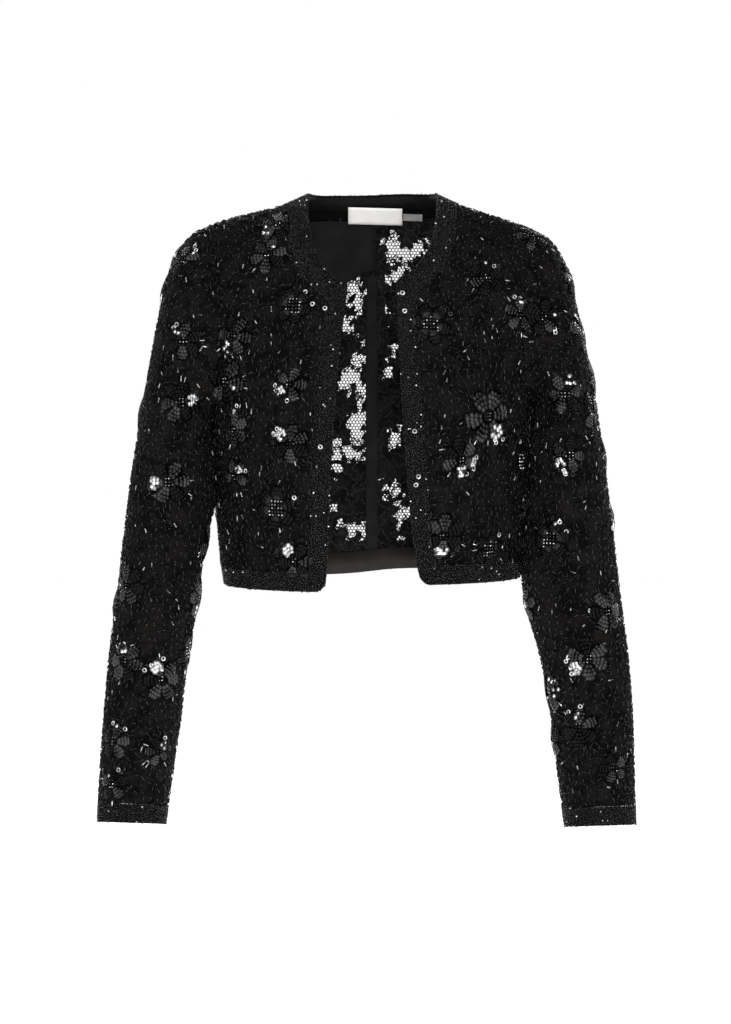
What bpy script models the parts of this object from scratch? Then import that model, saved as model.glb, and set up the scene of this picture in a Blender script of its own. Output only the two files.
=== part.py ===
"""Cropped evening jacket with long sleeves, an open front and beaded edge bands.

Metres, +Z up. The front faces -Y and the wearer's left is +X. The jacket is filled out as if worn,
and its origin is midway between the points where the shoulder seams meet the neck.
A place on the body is given by its face (FRONT or BACK), its turn round the body from the centre
line (a quarter turn is the side seam) and its level, the distance below the shoulder line.
"""

import math

import bpy
from mathutils import Vector

FRONT = -1
BACK = 1
SIDES = (("right", -1), ("left", 1))

# Cloth thicknesses and the gap between sewn pieces
LACE = 0.0020
BAND = 0.0030
LINING = 0.0010
LABEL = 0.0010
SEAM = 0.0003
BAND_PROUD = 0.0005

# Body
BODY_LENGTH = 0.380
ROUNDNESS = 2.2
SHOULDER_ROUND = 0.085
BAND_WIDTH = 0.0195
ARMHOLE_DEPTH = 0.205
SHOULDER_END = 0.168
NECK_SIDE = 0.065
NECK_FRONT_DROP = 0.090
NECK_BACK_DROP = 0.035
NECK_ROUNDNESS = 2.5
NECK_LIFT_REACH = 0.100
CORNER_ROUND = 0.004
CORNER_SHARE = 0.3
CORNER_SEARCH_STEP = 0.0005

# level, half width, depth in front, depth behind
BODY_LEVELS = (
    (0.000, 0.2080, 0.050, 0.054),
    (0.050, 0.1990, 0.070, 0.074),
    (0.100, 0.1855, 0.090, 0.088),
    (0.150, 0.1715, 0.107, 0.096),
    (0.205, 0.1605, 0.120, 0.100),
    (0.250, 0.1580, 0.121, 0.098),
    (0.300, 0.1575, 0.116, 0.094),
    (0.350, 0.1540, 0.107, 0.090),
    (0.380, 0.1500, 0.101, 0.088),
)

# distance from the centre line, height of the shoulder line there on the right and on the left
SHOULDER_LINE = (
    (0.000, 0.0126, 0.0126),
    (0.050, 0.0126, 0.0126),
    (0.062, 0.0114, 0.0114),
    (0.075, 0.0058, 0.0058),
    (0.092, -0.0010, -0.0014),
    (0.124, -0.0092, -0.0118),
    (0.156, -0.0176, -0.0225),
    (0.168, -0.0235, -0.0285),
    (0.181, -0.0320, -0.0370),
)

# level, distance of the front edge from the centre line on the right and on the left
FRONT_EDGE = (
    (0.080, 0.0232, 0.0218),
    (0.140, 0.0305, 0.0255),
    (0.200, 0.0360, 0.0285),
    (0.260, 0.0405, 0.0330),
    (0.320, 0.0428, 0.0385),
    (0.380, 0.0460, 0.0470),
)

# How much higher the left half hangs than the middle, and how far from the centre line it gets there
BODY_TILT = 0.0036
TILT_WIDTH = 0.030

# level, distance of the armhole seam from the centre line
ARMHOLE = (
    (0.000, 0.1680),
    (0.030, 0.1585),
    (0.060, 0.1530),
    (0.100, 0.1500),
    (0.140, 0.1505),
    (0.170, 0.1532),
    (0.190, 0.1565),
    (0.205, 0.1605),
)

# Soft folds pressed into the panels: face, side, distance from the centre, top, bottom, half width, depth
FOLDS = (
    (FRONT, -1, 0.106, -0.070, -0.270, 0.014, 0.0045),
    (FRONT, 1, 0.088, -0.020, -0.120, 0.012, 0.0035),
    (FRONT, 1, 0.118, -0.180, -0.330, 0.016, 0.0030),
    (BACK, -1, 0.100, -0.100, -0.300, 0.016, 0.0035),
    (BACK, 1, 0.096, -0.080, -0.260, 0.015, 0.0035),
)
FOLD_STEEPNESS = 1.6
FOLD_TAPER = 0.7

# Sleeves: outer edge (across, height), inner edge (across, height), forward, half depth, lean
SLEEVE = {
    "right": (
        (0.1805, -0.0290, 0.1614, -0.2200, 0.000, 0.0560, 0),
        (0.1920, -0.0415, 0.1614, -0.2215, 0.000, 0.0560, 0),
        (0.2020, -0.0590, 0.1613, -0.2235, 0.000, 0.0560, 0),
        (0.2090, -0.0825, 0.1611, -0.2265, 0.001, 0.0555, 0),
        (0.2155, -0.1125, 0.1607, -0.2320, 0.004, 0.0545, 0),
        (0.2225, -0.1500, 0.1598, -0.2410, 0.009, 0.0535, 0),
        (0.2292, -0.1900, 0.1586, -0.2550, 0.015, 0.0520, 0),
        (0.2358, -0.2300, 0.1580, -0.2730, 0.020, 0.0500, 1),
        (0.2430, -0.2750, 0.1584, -0.2980, 0.023, 0.0480, 2),
        (0.2485, -0.3185, 0.1668, -0.3300, 0.025, 0.0460, 4),
        (0.2532, -0.3590, 0.1722, -0.3650, 0.028, 0.0440, 6),
        (0.2575, -0.3990, 0.1775, -0.4040, 0.032, 0.0425, 8),
        (0.2630, -0.4384, 0.1850, -0.4430, 0.037, 0.0410, 9),
        (0.2670, -0.4780, 0.1900, -0.4820, 0.042, 0.0395, 10),
        (0.2702, -0.5173, 0.1942, -0.5210, 0.047, 0.0380, 10),
        (0.2730, -0.5570, 0.2003, -0.5600, 0.053, 0.0360, 10),
        (0.2750, -0.6005, 0.2060, -0.6030, 0.059, 0.0345, 10),
    ),
    "left": (
        (0.1785, -0.0345, 0.1614, -0.2125, 0.000, 0.0560, 0),
        (0.1885, -0.0465, 0.1614, -0.2140, 0.000, 0.0560, 0),
        (0.1968, -0.0645, 0.1613, -0.2160, 0.000, 0.0560, 0),
        (0.2025, -0.0865, 0.1611, -0.2195, 0.001, 0.0560, 0),
        (0.2095, -0.1155, 0.1607, -0.2255, 0.004, 0.0560, 0),
        (0.2170, -0.1520, 0.1598, -0.2350, 0.009, 0.0555, 0),
        (0.2245, -0.1920, 0.1586, -0.2500, 0.015, 0.0545, 0),
        (0.2302, -0.2320, 0.1577, -0.2700, 0.020, 0.0530, 1),
        (0.2362, -0.2760, 0.1572, -0.2970, 0.024, 0.0510, 2),
        (0.2412, -0.3185, 0.1548, -0.3290, 0.027, 0.0490, 4),
        (0.2462, -0.3590, 0.1508, -0.3650, 0.030, 0.0470, 6),
        (0.2507, -0.3990, 0.1560, -0.4040, 0.034, 0.0450, 8),
        (0.2560, -0.4384, 0.1675, -0.4430, 0.039, 0.0430, 9),
        (0.2597, -0.4780, 0.1762, -0.4820, 0.044, 0.0410, 10),
        (0.2622, -0.5173, 0.1820, -0.5210, 0.049, 0.0390, 10),
        (0.2632, -0.5570, 0.1862, -0.5600, 0.055, 0.0370, 10),
        (0.2642, -0.6030, 0.1920, -0.6055, 0.061, 0.0350, 10),
    ),
}
SLEEVE_ROUNDNESS = 2.1
SLEEVE_GAP = 0.0007
CAP_STATIONS = 5
CUFF_HEIGHT = 0.0190

# Inner pieces on the back
BACK_SEARCH = (0.012, 0.200)
NECK_WIDTHS = [0.0, 0.6, 0.93, 1.0]
YOKE_ROW = 4
YOKE_COLUMNS = 5
LABEL_ROOM = 0.0020
LABEL_COLUMNS = 6

# Labels inside the back neck: left end, right end, top, bottom, slant, rows
LABELS = {
    "label": (-0.0250, 0.0320, 0.0025, -0.0150, -0.0015),
    "size_tab": (0.0330, 0.0540, -0.0045, -0.0115, -0.0005),
}

# Grids: share of a panel's side edge below the armhole, short step at an edge, squeeze towards a shoulder
SIDE_SHARE = 0.42
SIDE_ROWS = 5
ARMHOLE_ROWS = 12
PANEL_COLUMNS = 10
END_STEP = 0.018
SHOULDER_STEP = 0.008
NECK_SQUEEZE = 2.0
FRONT_BAND_COLUMNS = (0.0, 0.15, 0.5, 1.0)

# Columns across half a panel, rows up it, and the rows' steps along the neckline
PANEL_ACROSS = [0.0, END_STEP, *[k / PANEL_COLUMNS for k in range(1, PANEL_COLUMNS)], 1 - END_STEP, 1.0]
SIDE_LEVELS = [0.0, END_STEP / 2, *[SIDE_SHARE * k / SIDE_ROWS for k in range(1, SIDE_ROWS)]]
ARMHOLE_SHARES = [*[k / ARMHOLE_ROWS for k in range(ARMHOLE_ROWS)], 1 - SHOULDER_STEP, 1.0]
PANEL_UP = SIDE_LEVELS + [SIDE_SHARE + (1 - SIDE_SHARE) * share for share in ARMHOLE_SHARES]
NECK_SHARE = SIDE_SHARE + (1 - SIDE_SHARE) / 2
NECK_STEPS = [max(0.0, 2 * share - 1) for share in ARMHOLE_SHARES if share >= 0.5]


def read_row(table, at):
    """Every column of a table at a place between its rows, on a smooth curve through them."""
    places = [row[0] for row in table]
    at = min(max(at, places[0]), places[-1])
    i = max(k for k in range(len(table) - 1) if places[k] <= at)

    def slope(k, column):
        before, after = max(k - 1, 0), min(k + 1, len(table) - 1)
        return (table[after][column] - table[before][column]) / (places[after] - places[before])

    span = places[i + 1] - places[i]
    t = (at - places[i]) / span
    values = []
    for column in range(1, len(table[0])):
        start, end = table[i][column], table[i + 1][column]
        rise = slope(i, column) * span
        fall = slope(i + 1, column) * span
        values.append(
            start * (2 * t**3 - 3 * t**2 + 1)
            + rise * (t**3 - 2 * t**2 + t)
            + end * (3 * t**2 - 2 * t**3)
            + fall * (t**3 - t**2)
        )
    return values


def blend(start, end, t):
    """A value part of the way from one to another."""
    return start + (end - start) * t


def ease(t):
    """A smooth step from 0 to 1."""
    t = min(max(t, 0.0), 1.0)
    return t * t * (3 - 2 * t)


def path_to(level):
    """How far the cloth runs from the shoulder line, over the rounded shoulder, to a level."""
    if level >= SHOULDER_ROUND:
        return level + SHOULDER_ROUND * (math.pi / 2 - 1)
    return SHOULDER_ROUND * math.acos(1 - max(level, 0.0) / SHOULDER_ROUND)


def level_after(path):
    """The level that the cloth reaches at that distance from the shoulder line."""
    if path >= SHOULDER_ROUND * math.pi / 2:
        return path - SHOULDER_ROUND * (math.pi / 2 - 1)
    return SHOULDER_ROUND * (1 - math.cos(max(path, 0.0) / SHOULDER_ROUND))


def turn_at(x, level):
    """The turn round the body at a distance from the centre line."""
    half_width = read_row(BODY_LEVELS, level)[0]
    share = min(abs(x) / half_width, 1.0)
    return math.copysign(math.asin(share ** (ROUNDNESS / 2)), x)


def smooth_body(face, turn, level):
    """A point of the body's outer surface, before its folds."""
    half_width, depth_front, depth_back = read_row(BODY_LEVELS, level)
    depth = depth_front if face == FRONT else depth_back
    if level < SHOULDER_ROUND:
        depth *= math.sqrt(1 - (1 - max(level, 0.0) / SHOULDER_ROUND) ** 2)
    x = half_width * abs(math.sin(turn)) ** (2 / ROUNDNESS)
    y = face * (depth * max(math.cos(turn), 0.0) ** (2 / ROUNDNESS) + SEAM / 2)
    z = -level + read_row(SHOULDER_LINE, x)[turn > 0] * (1 - level / BODY_LENGTH)
    z += BODY_TILT * math.copysign(math.tanh(x / TILT_WIDTH), turn) * ease(level / NECK_FRONT_DROP)
    if face == BACK and x < NECK_LIFT_REACH:
        rise = (1 - (x / NECK_LIFT_REACH) ** 3) ** 2
        down = max(level, 0.0) / NECK_BACK_DROP
        z += NECK_BACK_DROP * rise * down * math.exp(1 - down)
    return Vector((math.copysign(x, turn), y, z))


def body_normal(face, turn, level):
    """The outward direction of the body's surface."""
    small_turn, small_level = 0.0008, 0.00002
    round_body = smooth_body(face, turn + small_turn, level) - smooth_body(face, turn - small_turn, level)
    below = smooth_body(face, turn, min(level + small_level, BODY_LENGTH))
    above = smooth_body(face, turn, max(level - small_level, 0.0))
    return (round_body.cross(below - above) * face).normalized()


def fold_depth(face, point):
    """How far the soft folds press the cloth in at a point."""
    depth = 0.0
    for fold_face, side, x, top, bottom, half_width, deepest in FOLDS:
        if fold_face != face or point.x * side <= 0:
            continue
        across = (abs(point.x) - x) / half_width
        down = (top - point.z) / (top - bottom)
        if abs(across) < 2 and 0 < down < 1:
            ends = math.sin(math.pi * down) ** FOLD_TAPER
            depth += deepest * math.exp(-(across**2) * FOLD_STEEPNESS) * ends
    return depth


def on_body(face, turn, level, out=0.0):
    """A point of the body moved out from its surface, or in where out is negative."""
    point = smooth_body(face, turn, level)
    return point + body_normal(face, turn, level) * (out - fold_depth(face, point))


def front_edge(level, side):
    """Distance of the front edge from the centre line."""
    return read_row(FRONT_EDGE, level)[side > 0]


def neck_point(face, angle, wider):
    """A place on the neckline, as distance from the centre line and level; angle 0 is the shoulder."""
    drop = NECK_FRONT_DROP if face == FRONT else NECK_BACK_DROP
    power = 2 / NECK_ROUNDNESS
    x = math.copysign((NECK_SIDE + wider) * abs(math.cos(angle)) ** power, math.cos(angle))
    return x, (drop + wider) * max(math.sin(angle), 0.0) ** power


def neck_angle(v):
    """The angle along a neckline: 0 at the side of +X, a quarter turn at the centre for v = 0."""
    angle = math.pi / 2 * (1 - abs(v)) ** NECK_SQUEEZE
    return angle if v >= 0 else math.pi - angle


def neck_corner(wider, side):
    """The angle at which the front neckline meets the line that far inside the front edge."""
    angle = math.pi / 2
    while angle > 0:
        x, level = neck_point(FRONT, angle, wider)
        if x >= front_edge(level, side) + wider:
            return angle
        angle -= CORNER_SEARCH_STEP
    return angle


def armhole(fraction):
    """A place on the armhole: 0 at the underarm and 1 at the shoulder, as turn and level."""
    level = ARMHOLE_DEPTH * (1 + math.cos(math.pi * fraction)) / 2
    if fraction <= 0:
        return math.pi / 2, ARMHOLE_DEPTH
    return turn_at(read_row(ARMHOLE, level)[0], level), level


def mix(a, b, t):
    """A place part of the way from one to another, measured along the cloth."""
    return blend(a[0], b[0], t), level_after(blend(path_to(a[1]), path_to(b[1]), t))


def patch(left, right, bottom, top, across, up):
    """Places filling the space between four edges, row by row from the bottom."""
    corners = left(0), right(0), left(1), right(1)
    rows = []
    for v in up:
        row = []
        for u in across:
            sides = mix(left(v), right(v), u)
            ends = mix(bottom(u), top(u), v)
            plain = mix(mix(corners[0], corners[1], u), mix(corners[2], corners[3], u), v)
            turn = sides[0] + ends[0] - plain[0]
            path = path_to(sides[1]) + path_to(ends[1]) - path_to(plain[1])
            row.append((turn, level_after(path)))
        rows.append(row)
    return rows


def strip(edge_a, edge_b, along, across):
    """Places between two edges that run side by side."""
    return [[mix(edge_a(v), edge_b(v), u) for u in across] for v in along]


def cloth_material(name, colour, roughness):
    """The plain finish of one piece."""
    material = bpy.data.materials.new(name)
    material.use_nodes = True
    shader = material.node_tree.nodes["Principled BSDF"]
    shader.inputs["Base Color"].default_value = (*colour, 1.0)
    shader.inputs["Roughness"].default_value = roughness
    shader.inputs["Metallic"].default_value = 0.0
    return material


BLACK_LACE = ((0.012, 0.012, 0.013), 0.75)
BLACK_BEADS = ((0.010, 0.010, 0.011), 0.35)
BLACK_LINING = ((0.020, 0.019, 0.020), 0.60)
BROWN_SATIN = ((0.030, 0.024, 0.023), 0.45)
WHITE_LABEL = ((0.850, 0.840, 0.820), 0.70)
GREY_LABEL = ((0.350, 0.350, 0.350), 0.70)


def shell(name, points, thickness, finish, closed=False):
    """A cloth piece: a sheet through rows of points, thickened inwards from its outer side."""
    width = len(points[0])
    verts = [point for row in points for point in row]
    faces = []
    for r in range(len(points) - 1):
        for c in range(width if closed else width - 1):
            n = (c + 1) % width
            faces.append((r * width + c, r * width + n, (r + 1) * width + n, (r + 1) * width + c))
    mesh = bpy.data.meshes.new(name)
    mesh.from_pydata(verts, [], faces)
    mesh.shade_smooth()
    piece = bpy.data.objects.new(name, mesh)
    JACKET.objects.link(piece)
    solid = piece.modifiers.new("cloth", "SOLIDIFY")
    solid.thickness = thickness
    solid.offset = -1
    piece.data.materials.append(cloth_material(name, *finish))
    return piece


def body_shell(name, face, side, places, thickness, finish, out=0.0):
    """A piece that lies on the body, from places of turn and level on one side."""
    rows = [[on_body(face, turn * side, level, out) for turn, level in row] for row in places]
    r, c = len(rows) // 2, len(rows[0]) // 2 - 1
    turn, level = places[r][c]
    facing = (rows[r][c + 1] - rows[r][c]).cross(rows[r + 1][c] - rows[r][c])
    if facing.dot(body_normal(face, turn * side, level)) < 0:
        rows = [row[::-1] for row in rows]
    return shell(name, rows, thickness, finish)


def panel_grid(face, side):
    """Places of a front or back panel, from the hem up and from the centre to the side."""
    inset = BAND_WIDTH + SEAM
    low = BODY_LENGTH - inset
    start = neck_corner(inset, side) if face == FRONT else math.pi / 2
    high = neck_point(face, start, inset)[1]
    neck = neck_line(face, start, inset)

    def centre_and_neck(v):
        if v > NECK_SHARE:
            return neck((v - NECK_SHARE) / (1 - NECK_SHARE))
        level = level_after(blend(path_to(low), path_to(high), v / NECK_SHARE))
        x = front_edge(level, side) + inset if face == FRONT else SEAM / 2
        return turn_at(x, level), level

    def side_and_armhole(v):
        if v <= SIDE_SHARE:
            return math.pi / 2, blend(low, ARMHOLE_DEPTH, v / SIDE_SHARE)
        return armhole((v - SIDE_SHARE) / (1 - SIDE_SHARE))

    def hem(u):
        return blend(centre_and_neck(0)[0], math.pi / 2, u), low

    def shoulder(u):
        return turn_at(blend(NECK_SIDE + inset, SHOULDER_END, u), 0.0), 0.0

    return patch(centre_and_neck, side_and_armhole, hem, shoulder, PANEL_ACROSS, PANEL_UP)


def make_panels():
    """Fronts and backs, cut off where the bands begin."""
    for name, side in SIDES:
        body_shell(f"front_{name}", FRONT, side, panel_grid(FRONT, side), LACE, BLACK_LACE)
        body_shell(f"back_{name}", BACK, side, panel_grid(BACK, side), LACE, BLACK_LACE)


def neck_level_at(x):
    """Level of the front neckline at a distance from the centre line."""
    share = 1 - (x / NECK_SIDE) ** NECK_ROUNDNESS
    return NECK_FRONT_DROP * share ** (1 / NECK_ROUNDNESS)


def front_band_places(side):
    """Places of the front band, level with the panel's rows and cut to the neckline at the top."""
    rows = [row for v, row in zip(PANEL_UP, panel_grid(FRONT, side)) if v <= NECK_SHARE]
    levels = [BODY_LENGTH] + [row[0][1] for row in rows]
    rows = []
    for level in levels:
        edge = front_edge(level, side)
        rows.append([(turn_at(edge + BAND_WIDTH * share, level), level) for share in FRONT_BAND_COLUMNS])
    top = []
    for share in FRONT_BAND_COLUMNS:
        x = front_edge(NECK_FRONT_DROP, side) + BAND_WIDTH * share
        level = neck_level_at(x) + CORNER_ROUND * max(0, 1 - share / CORNER_SHARE) ** 2
        top.append((turn_at(x, level), level))
    return rows + [top]


def neck_line(face, start, wider):
    """A line that far outside the neckline; v runs from the start's angle to the shoulder at 1."""

    def place(v):
        if face == BACK:
            angle = neck_angle(v)
        else:
            angle = start * (1 - v) ** NECK_SQUEEZE
        x, level = neck_point(face, angle, wider)
        return turn_at(x, level), level

    return place


def hem_line(start, level):
    """A level line round the hem, from a turn to the side seam."""
    return lambda v: (blend(start, math.pi / 2, v), level)


def neck_front_places(side):
    """Places of the front neck band, from the front band to the shoulder."""
    join = front_edge(NECK_FRONT_DROP, side) + BAND_WIDTH + SEAM
    inner_start = math.acos((join / NECK_SIDE) ** (NECK_ROUNDNESS / 2))
    inner = neck_line(FRONT, inner_start, 0.0)
    outer = neck_line(FRONT, neck_corner(BAND_WIDTH + SEAM, side), BAND_WIDTH)
    return strip(inner, outer, NECK_STEPS, NECK_WIDTHS)


def hem_front_places(side):
    """Places of a front hem band, from the front band to the side seam."""
    inset = BAND_WIDTH + SEAM
    lines = []
    for level in (BODY_LENGTH, BODY_LENGTH - BAND_WIDTH):
        lines.append(hem_line(turn_at(front_edge(level, side) + inset, level), level))
    return strip(lines[0], lines[1], PANEL_ACROSS, [0.0, 1.0])


def make_bands():
    """The beaded bands round the neck, down both front edges and round the hem."""
    beads = (BAND, BLACK_BEADS, BAND_PROUD)
    for name, side in SIDES:
        body_shell(f"neck_band_{name}", FRONT, side, neck_front_places(side), *beads)
        body_shell(f"front_band_{name}", FRONT, side, front_band_places(side), *beads)
        body_shell(f"hem_band_{name}", FRONT, side, hem_front_places(side), *beads)
    body_shell("neck_band_back", BACK, 1, neck_back_places(), *beads)
    body_shell("hem_band_back", BACK, 1, hem_back_places(), *beads)


def neck_back_places():
    """Places of the back neck band, from shoulder to shoulder."""
    inner, outer = neck_line(BACK, 0, 0.0), neck_line(BACK, 0, BAND_WIDTH)
    along = [-v for v in NECK_STEPS[:0:-1]] + NECK_STEPS
    return strip(inner, outer, along, NECK_WIDTHS)


def hem_back_places():
    """Places of the back hem band, from side seam to side seam."""
    low = hem_line(0.0, BODY_LENGTH)
    high = hem_line(0.0, BODY_LENGTH - BAND_WIDTH)
    along = [-u for u in PANEL_ACROSS[:0:-1]] + PANEL_ACROSS
    return strip(low, high, along, [0.0, 1.0])


def sleeve_places():
    """The armhole's own steps: down the front from the shoulder, then up the back."""
    down = [(FRONT, share) for share in ARMHOLE_SHARES[::-1]]
    return down + [(BACK, share) for share in ARMHOLE_SHARES[1:-1]]


def sleeve_ring(station, side):
    """One ring of a sleeve, from its outer edge round the front, the inner edge and the back."""
    outer_x, outer_z, inner_x, inner_z, forward, half_depth, lean = station
    middle = Vector(((outer_x + inner_x) / 2, -forward, (outer_z + inner_z) / 2))
    reach = Vector(((outer_x - inner_x) / 2, 0, (outer_z - inner_z) / 2))
    front = Vector((0, -math.cos(math.radians(lean)), math.sin(math.radians(lean)))) * half_depth
    ring = []
    power = 2 / SLEEVE_ROUNDNESS
    for face, share in sleeve_places():
        angle = math.pi * (1 - share) if face == FRONT else math.pi * (1 + share)
        a = math.copysign(abs(math.cos(angle)) ** power, math.cos(angle))
        b = math.copysign(abs(math.sin(angle)) ** power, math.sin(angle))
        point = middle + reach * a + front * b
        point.x *= side
        ring.append(point)
    return ring


def armhole_ring(side):
    """The armhole seam, with the sleeve's gap, in the order of a sleeve's rings."""
    ring = []
    for face, share in sleeve_places():
        turn, level = armhole(share)
        point = smooth_body(face, turn * side, level)
        if share in (0.0, 1.0):
            point.y = 0.0
        point.x += SLEEVE_GAP * side
        ring.append(point)
    return ring


def make_sleeves():
    """Sleeves set into the armholes, and the bands at their ends."""
    for name, side in SIDES:
        stations = SLEEVE[name]
        seam = armhole_ring(side)
        top, under = seam[0], seam[sleeve_places().index((FRONT, 0.0))]
        plain = (top.x * side, top.z, under.x * side, under.z, 0, stations[0][5], 0)
        plain = sleeve_ring(plain, side)
        rings = [seam]
        for k, station in enumerate(stations):
            hold = 1 - ease((k + 1) / CAP_STATIONS)
            ring = sleeve_ring(station, side)
            rings.append([p + (s - q) * hold for p, s, q in zip(ring, seam, plain)])
        last, before = stations[-1], stations[-2]
        run = [last[k] - before[k] for k in range(7)]
        length = math.hypot(run[0], run[1], run[4])
        ends = []
        for down in (SEAM, CUFF_HEIGHT / 2, CUFF_HEIGHT):
            grown = [last[k] + run[k] * down / length for k in range(7)]
            grown[0] += BAND_PROUD
            grown[2] -= BAND_PROUD
            grown[5] += BAND_PROUD
            ends.append(sleeve_ring(grown, side))
        if side < 0:
            rings = [ring[::-1] for ring in rings]
            ends = [ring[::-1] for ring in ends]
        shell(f"sleeve_{name}", rings, LACE, BLACK_LACE, closed=True)
        shell(f"cuff_band_{name}", ends, BAND, BLACK_BEADS, closed=True)


def back_level_at(x, height):
    """The level on the back at a distance from the centre line and a height."""
    low, high = BACK_SEARCH
    for _ in range(30):
        level = (low + high) / 2
        if smooth_body(BACK, turn_at(x, level), level).z > height:
            low = level
        else:
            high = level
    return level


def make_inner_pieces():
    """What shows inside the back: facings, yoke lining, seam strip, label and size tab."""
    on_band = BAND_PROUD - BAND - SEAM
    on_lace = -LACE - SEAM
    on_lining = on_lace - LINING - LABEL_ROOM
    neck = [row[:2] for row in neck_back_places()][1:-1]
    hem = hem_back_places()[1:-1]
    body_shell("neck_facing", BACK, 1, neck, LINING, BLACK_LINING, on_band)
    body_shell("hem_facing", BACK, 1, hem, LINING, BROWN_SATIN, on_band)

    grid = panel_grid(BACK, -1)
    first = len(SIDE_LEVELS) + YOKE_ROW
    yoke = [row[: YOKE_COLUMNS + 2] for row in grid[first:]]
    body_shell("yoke_lining", BACK, -1, yoke, LINING, BLACK_LINING, on_lace)

    rows = [[(-row[1][0], row[1][1]), (0.0, row[0][1]), row[1]] for row in grid[:first]]
    body_shell("back_seam_strip", BACK, 1, rows, LINING, BLACK_LINING, on_lace)

    for name, (start, end, top, bottom, slant) in LABELS.items():
        rows = []
        for k in range(LABEL_COLUMNS + 1):
            x = blend(start, end, k / LABEL_COLUMNS)
            row = []
            for height in (bottom, (bottom + top) / 2, top):
                level = back_level_at(x, height + slant * k / LABEL_COLUMNS)
                row.append((turn_at(x, level), level))
            rows.append(row)
        finish = WHITE_LABEL if name == "label" else GREY_LABEL
        body_shell(name, BACK, 1, rows, LABEL, finish, on_lining)


for old in list(bpy.data.objects):
    bpy.data.objects.remove(old)
JACKET = bpy.data.collections.new("cropped_jacket")
bpy.context.scene.collection.children.link(JACKET)

make_panels()
make_bands()
make_sleeves()
make_inner_pieces()
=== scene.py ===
"""Looks of the cropped jacket: black embroidered lace with beads and sequins, on the forms of its solids.

Metres, +Z up. The front faces -Y and the wearer's left is +X. The origin is midway between the
points where the shoulder seams meet the neck. A place on the body is given by its face, its turn
round the body from the centre line and its level, the distance below the shoulder line.
"""

import math
import random

import bpy
import numpy as np
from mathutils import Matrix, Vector
from mathutils.bvhtree import BVHTree


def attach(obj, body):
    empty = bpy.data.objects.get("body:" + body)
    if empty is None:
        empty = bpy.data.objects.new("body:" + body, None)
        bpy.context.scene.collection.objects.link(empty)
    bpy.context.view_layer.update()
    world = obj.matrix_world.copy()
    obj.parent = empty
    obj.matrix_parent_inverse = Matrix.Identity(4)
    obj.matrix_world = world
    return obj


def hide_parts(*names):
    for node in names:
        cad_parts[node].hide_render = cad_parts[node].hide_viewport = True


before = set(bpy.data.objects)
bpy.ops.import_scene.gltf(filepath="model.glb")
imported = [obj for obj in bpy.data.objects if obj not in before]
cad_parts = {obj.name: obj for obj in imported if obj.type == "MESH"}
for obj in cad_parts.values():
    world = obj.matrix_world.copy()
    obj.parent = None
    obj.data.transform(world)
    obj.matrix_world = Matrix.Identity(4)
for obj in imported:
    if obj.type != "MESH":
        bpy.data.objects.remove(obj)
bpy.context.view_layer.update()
random.seed(7)
rng = np.random.default_rng(7)

FRONT = -1
BACK = 1
SIDES = (("right", -1), ("left", 1))

# Cloth thicknesses and the gap between sewn pieces
LACE = 0.0020
BAND = 0.0030
LINING = 0.0010
LABEL = 0.0010
SEAM = 0.0003
BAND_PROUD = 0.0005

# Body
BODY_LENGTH = 0.380
ROUNDNESS = 2.2
SHOULDER_ROUND = 0.085
BAND_WIDTH = 0.0195
ARMHOLE_DEPTH = 0.205
SHOULDER_END = 0.168
NECK_SIDE = 0.065
NECK_FRONT_DROP = 0.090
NECK_BACK_DROP = 0.035
NECK_ROUNDNESS = 2.5
NECK_LIFT_REACH = 0.100
CORNER_ROUND = 0.004
CORNER_SHARE = 0.3
CORNER_SEARCH_STEP = 0.0005

# level, half width, depth in front, depth behind
BODY_LEVELS = (
    (0.000, 0.2080, 0.050, 0.054),
    (0.050, 0.1990, 0.070, 0.074),
    (0.100, 0.1855, 0.090, 0.088),
    (0.150, 0.1715, 0.107, 0.096),
    (0.205, 0.1605, 0.120, 0.100),
    (0.250, 0.1580, 0.121, 0.098),
    (0.300, 0.1575, 0.116, 0.094),
    (0.350, 0.1540, 0.107, 0.090),
    (0.380, 0.1500, 0.101, 0.088),
)

# distance from the centre line, height of the shoulder line there on the right and on the left
SHOULDER_LINE = (
    (0.000, 0.0126, 0.0126),
    (0.050, 0.0126, 0.0126),
    (0.062, 0.0114, 0.0114),
    (0.075, 0.0058, 0.0058),
    (0.092, -0.0010, -0.0014),
    (0.124, -0.0092, -0.0118),
    (0.156, -0.0176, -0.0225),
    (0.168, -0.0235, -0.0285),
    (0.181, -0.0320, -0.0370),
)

# level, distance of the front edge from the centre line on the right and on the left
FRONT_EDGE = (
    (0.080, 0.0232, 0.0218),
    (0.140, 0.0305, 0.0255),
    (0.200, 0.0360, 0.0285),
    (0.260, 0.0405, 0.0330),
    (0.320, 0.0428, 0.0385),
    (0.380, 0.0460, 0.0470),
)

# How much higher the left half hangs than the middle, and how far from the centre line it gets there
BODY_TILT = 0.0036
TILT_WIDTH = 0.030

# level, distance of the armhole seam from the centre line
ARMHOLE = (
    (0.000, 0.1680),
    (0.030, 0.1585),
    (0.060, 0.1530),
    (0.100, 0.1500),
    (0.140, 0.1505),
    (0.170, 0.1532),
    (0.190, 0.1565),
    (0.205, 0.1605),
)

# Soft folds pressed into the panels: face, side, distance from the centre, top, bottom, half width, depth
FOLDS = (
    (FRONT, -1, 0.106, -0.070, -0.270, 0.014, 0.0045),
    (FRONT, 1, 0.088, -0.020, -0.120, 0.012, 0.0035),
    (FRONT, 1, 0.118, -0.180, -0.330, 0.016, 0.0030),
    (BACK, -1, 0.100, -0.100, -0.300, 0.016, 0.0035),
    (BACK, 1, 0.096, -0.080, -0.260, 0.015, 0.0035),
)
FOLD_STEEPNESS = 1.6
FOLD_TAPER = 0.7

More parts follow.
